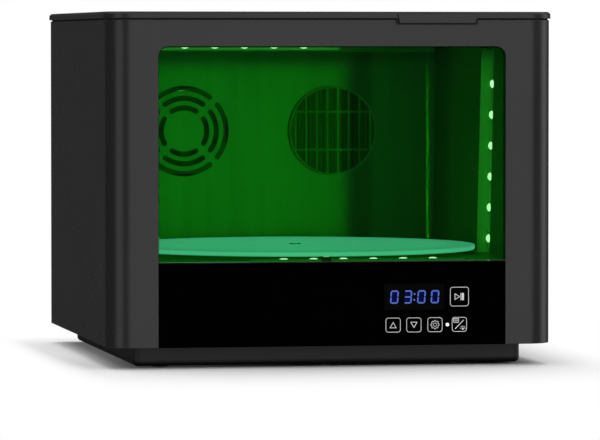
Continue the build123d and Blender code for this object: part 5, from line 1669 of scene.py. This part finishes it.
        # Painted light: the shadow is made paler on the left, for the camera only.
        pale = graph.math(
            "MULTIPLY",
            graph.spread(parts["X"], low.x, 0.0, 1.0, 0.0),
            graph.spread(parts["Y"], low.y, 0.05, *self.pale_shadow),
            graph.spread(contact, 0.0, 0.5, 0.2, 1.0),
            camera,
        )
        far = graph.spread(self._past(graph, parts, (-low.x, -low.y), (left, right, front, right)), 0.0, 1.0)
        far = graph.math("MAXIMUM", far, pale)
        shown = graph.math("MAXIMUM", gloss, through, camera)
        # Painted light: an emission lifts the shadow, from nothing at the base to the lift's level a run
        # away.
        lifted = graph.math("MULTIPLY", shown, graph.spread(contact, 0.0, 1.0, 0.0, level))
        paper = graph.add("BsdfDiffuse", {"Color": (0.86, 0.86, 0.86)})
        near = graph.add("AddShader", {0: paper, 1: graph.add("Emission", {"Strength": lifted})})
        white = graph.add("Emission", {"Strength": 1.0})
        faint = graph.add("BsdfDiffuse", {"Color": (0.8, 0.8, 0.8)})
        dark = graph.add("BsdfTransparent")
        behind, open_floor = self._behind(graph, graph.add("VectorMath", {0: place}, operation="NORMALIZE"))
        side = graph.add("MixShader", {0: gloss, 1: faint, 2: dark})
        away = graph.add("MixShader", {0: open_floor, 1: side, 2: white})
        dull = graph.math("MULTIPLY", gloss, graph.math("SUBTRACT", 1.0, behind))
        near = graph.add("MixShader", {0: dull, 1: near, 2: dark})
        graph.feed(graph.output.inputs["Surface"], graph.add("MixShader", {0: far, 1: near, 2: away}))
        mesh.materials.append(graph.material)

    def _room_lamps(self) -> list[SoftBox]:
        """Give the soft lamps of the room.

        Returns:
            The key lamp at the front and the top lamp.
        """
        middle = (0.0, 0.0, 0.18)
        return [
            SoftBox("key", (1.2, -2.6, 1.9), middle, (1.8, 1.4), 22.0),
            SoftBox("top", (0.0, 0.5, 2.6), middle, (2.4, 2.0), 32.0),
        ]

    def _chamber_lamps(self) -> list[SoftBox]:
        """Stand in for the light that the strips throw about the closed chamber.

        Returns:
            The wash of the wall, that of the floor, the fill from above, and a lamp in each channel and
            wall hem.
        """
        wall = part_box("back_wall")[0]
        lens_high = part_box("top_light_lens")[1]
        bar_low, bar_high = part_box("top_light_bar")
        disc_low, disc_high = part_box("turntable_disc")
        left, right = bar_low.x, lens_high.x + 0.005
        low, high = disc_high.z - 0.01, bar_low.z - 0.0165
        foot, cap = disc_low.z - 0.01, bar_low.z - 0.006
        green, pale, channel = (0.1, 1.0, 0.005), (0.176, 1.0, 0.03), (0.3, 1.0, 0.2)
        middle = ((left + right) / 2, wall.y, (low + high) / 2)
        start = (middle[0], wall.y - 0.06, middle[2])
        disc = (disc_low + disc_high) / 2
        under, floor = (disc.x, disc.y - 0.03, disc_low.z - 0.001), (disc.x, disc.y - 0.03, 0.0)
        above, foot_middle = (disc.x, disc.y, bar_high.z), (disc.x, disc.y, 0.0)
        lamps = [
            SoftBox("wall_wash", start, middle, (right - left, high - low), 0.0545, green, 24.0),
            SoftBox("floor_wash", under, floor, (0.34, 0.36), 0.022, pale, 160.0),
            SoftBox("strip_fill", above, foot_middle, (0.34, 0.34), 0.047, pale, 118.0),
        ]
        for side, turn in (("left", -1), ("right", 1)):
            board_low, board_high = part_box(f"{side}_light_board")
            x, z = (board_low.x if turn > 0 else board_high.x) - turn * 0.004, (foot + cap) / 2
            start, target, size = (x, board_low.y, z), (x, board_high.y, z), (0.008, cap - foot)
            lamps.append(SoftBox(f"{side}_channel", start, target, size, 0.0088, channel, 128.0))
            start, target = ((turn * self.hem, y, middle[2]) for y in (wall.y - 0.008, wall.y))
            lamps.append(SoftBox(f"{side}_hem", start, target, (0.002, high - low), 0.0013, pale, 14.0))
        return lamps

    def _camera(self) -> None:
        """Set the camera from its place, pitch and yaw: a long lens, level, turned a little to the right."""
        turn, drop = math.radians(self.yaw), math.radians(self.pitch)
        ahead = Vector((math.sin(turn) * math.cos(drop), math.cos(turn) * math.cos(drop), -math.sin(drop)))
        right = Vector((math.cos(turn), -math.sin(turn), 0.0))
        data = bpy.data.cameras.new("camera")
        data.sensor_fit = "HORIZONTAL"
        data.sensor_width = 36.0
        data.lens = self.lens
        data.clip_end = 200.0
        camera = add_object("camera", data)
        basis = Matrix((right, right.cross(ahead), -ahead)).transposed().to_4x4()
        camera.matrix_world = Matrix.Translation(self.camera_place) @ basis
        bpy.context.scene.camera = camera


def main() -> None:
    """Build the unit group by group, then the studio."""
    logging.basicConfig(level=logging.INFO, format="%(message)s")
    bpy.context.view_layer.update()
    finishes = make_finishes()
    for group in (Housing, Window, ControlPanel, Chamber, Turntable, Ventilation, Lid, Power):
        LOG.info("building %s", group.__name__)
        group(finishes).build()
    Studio().build()


if __name__ == "__main__":
    main()
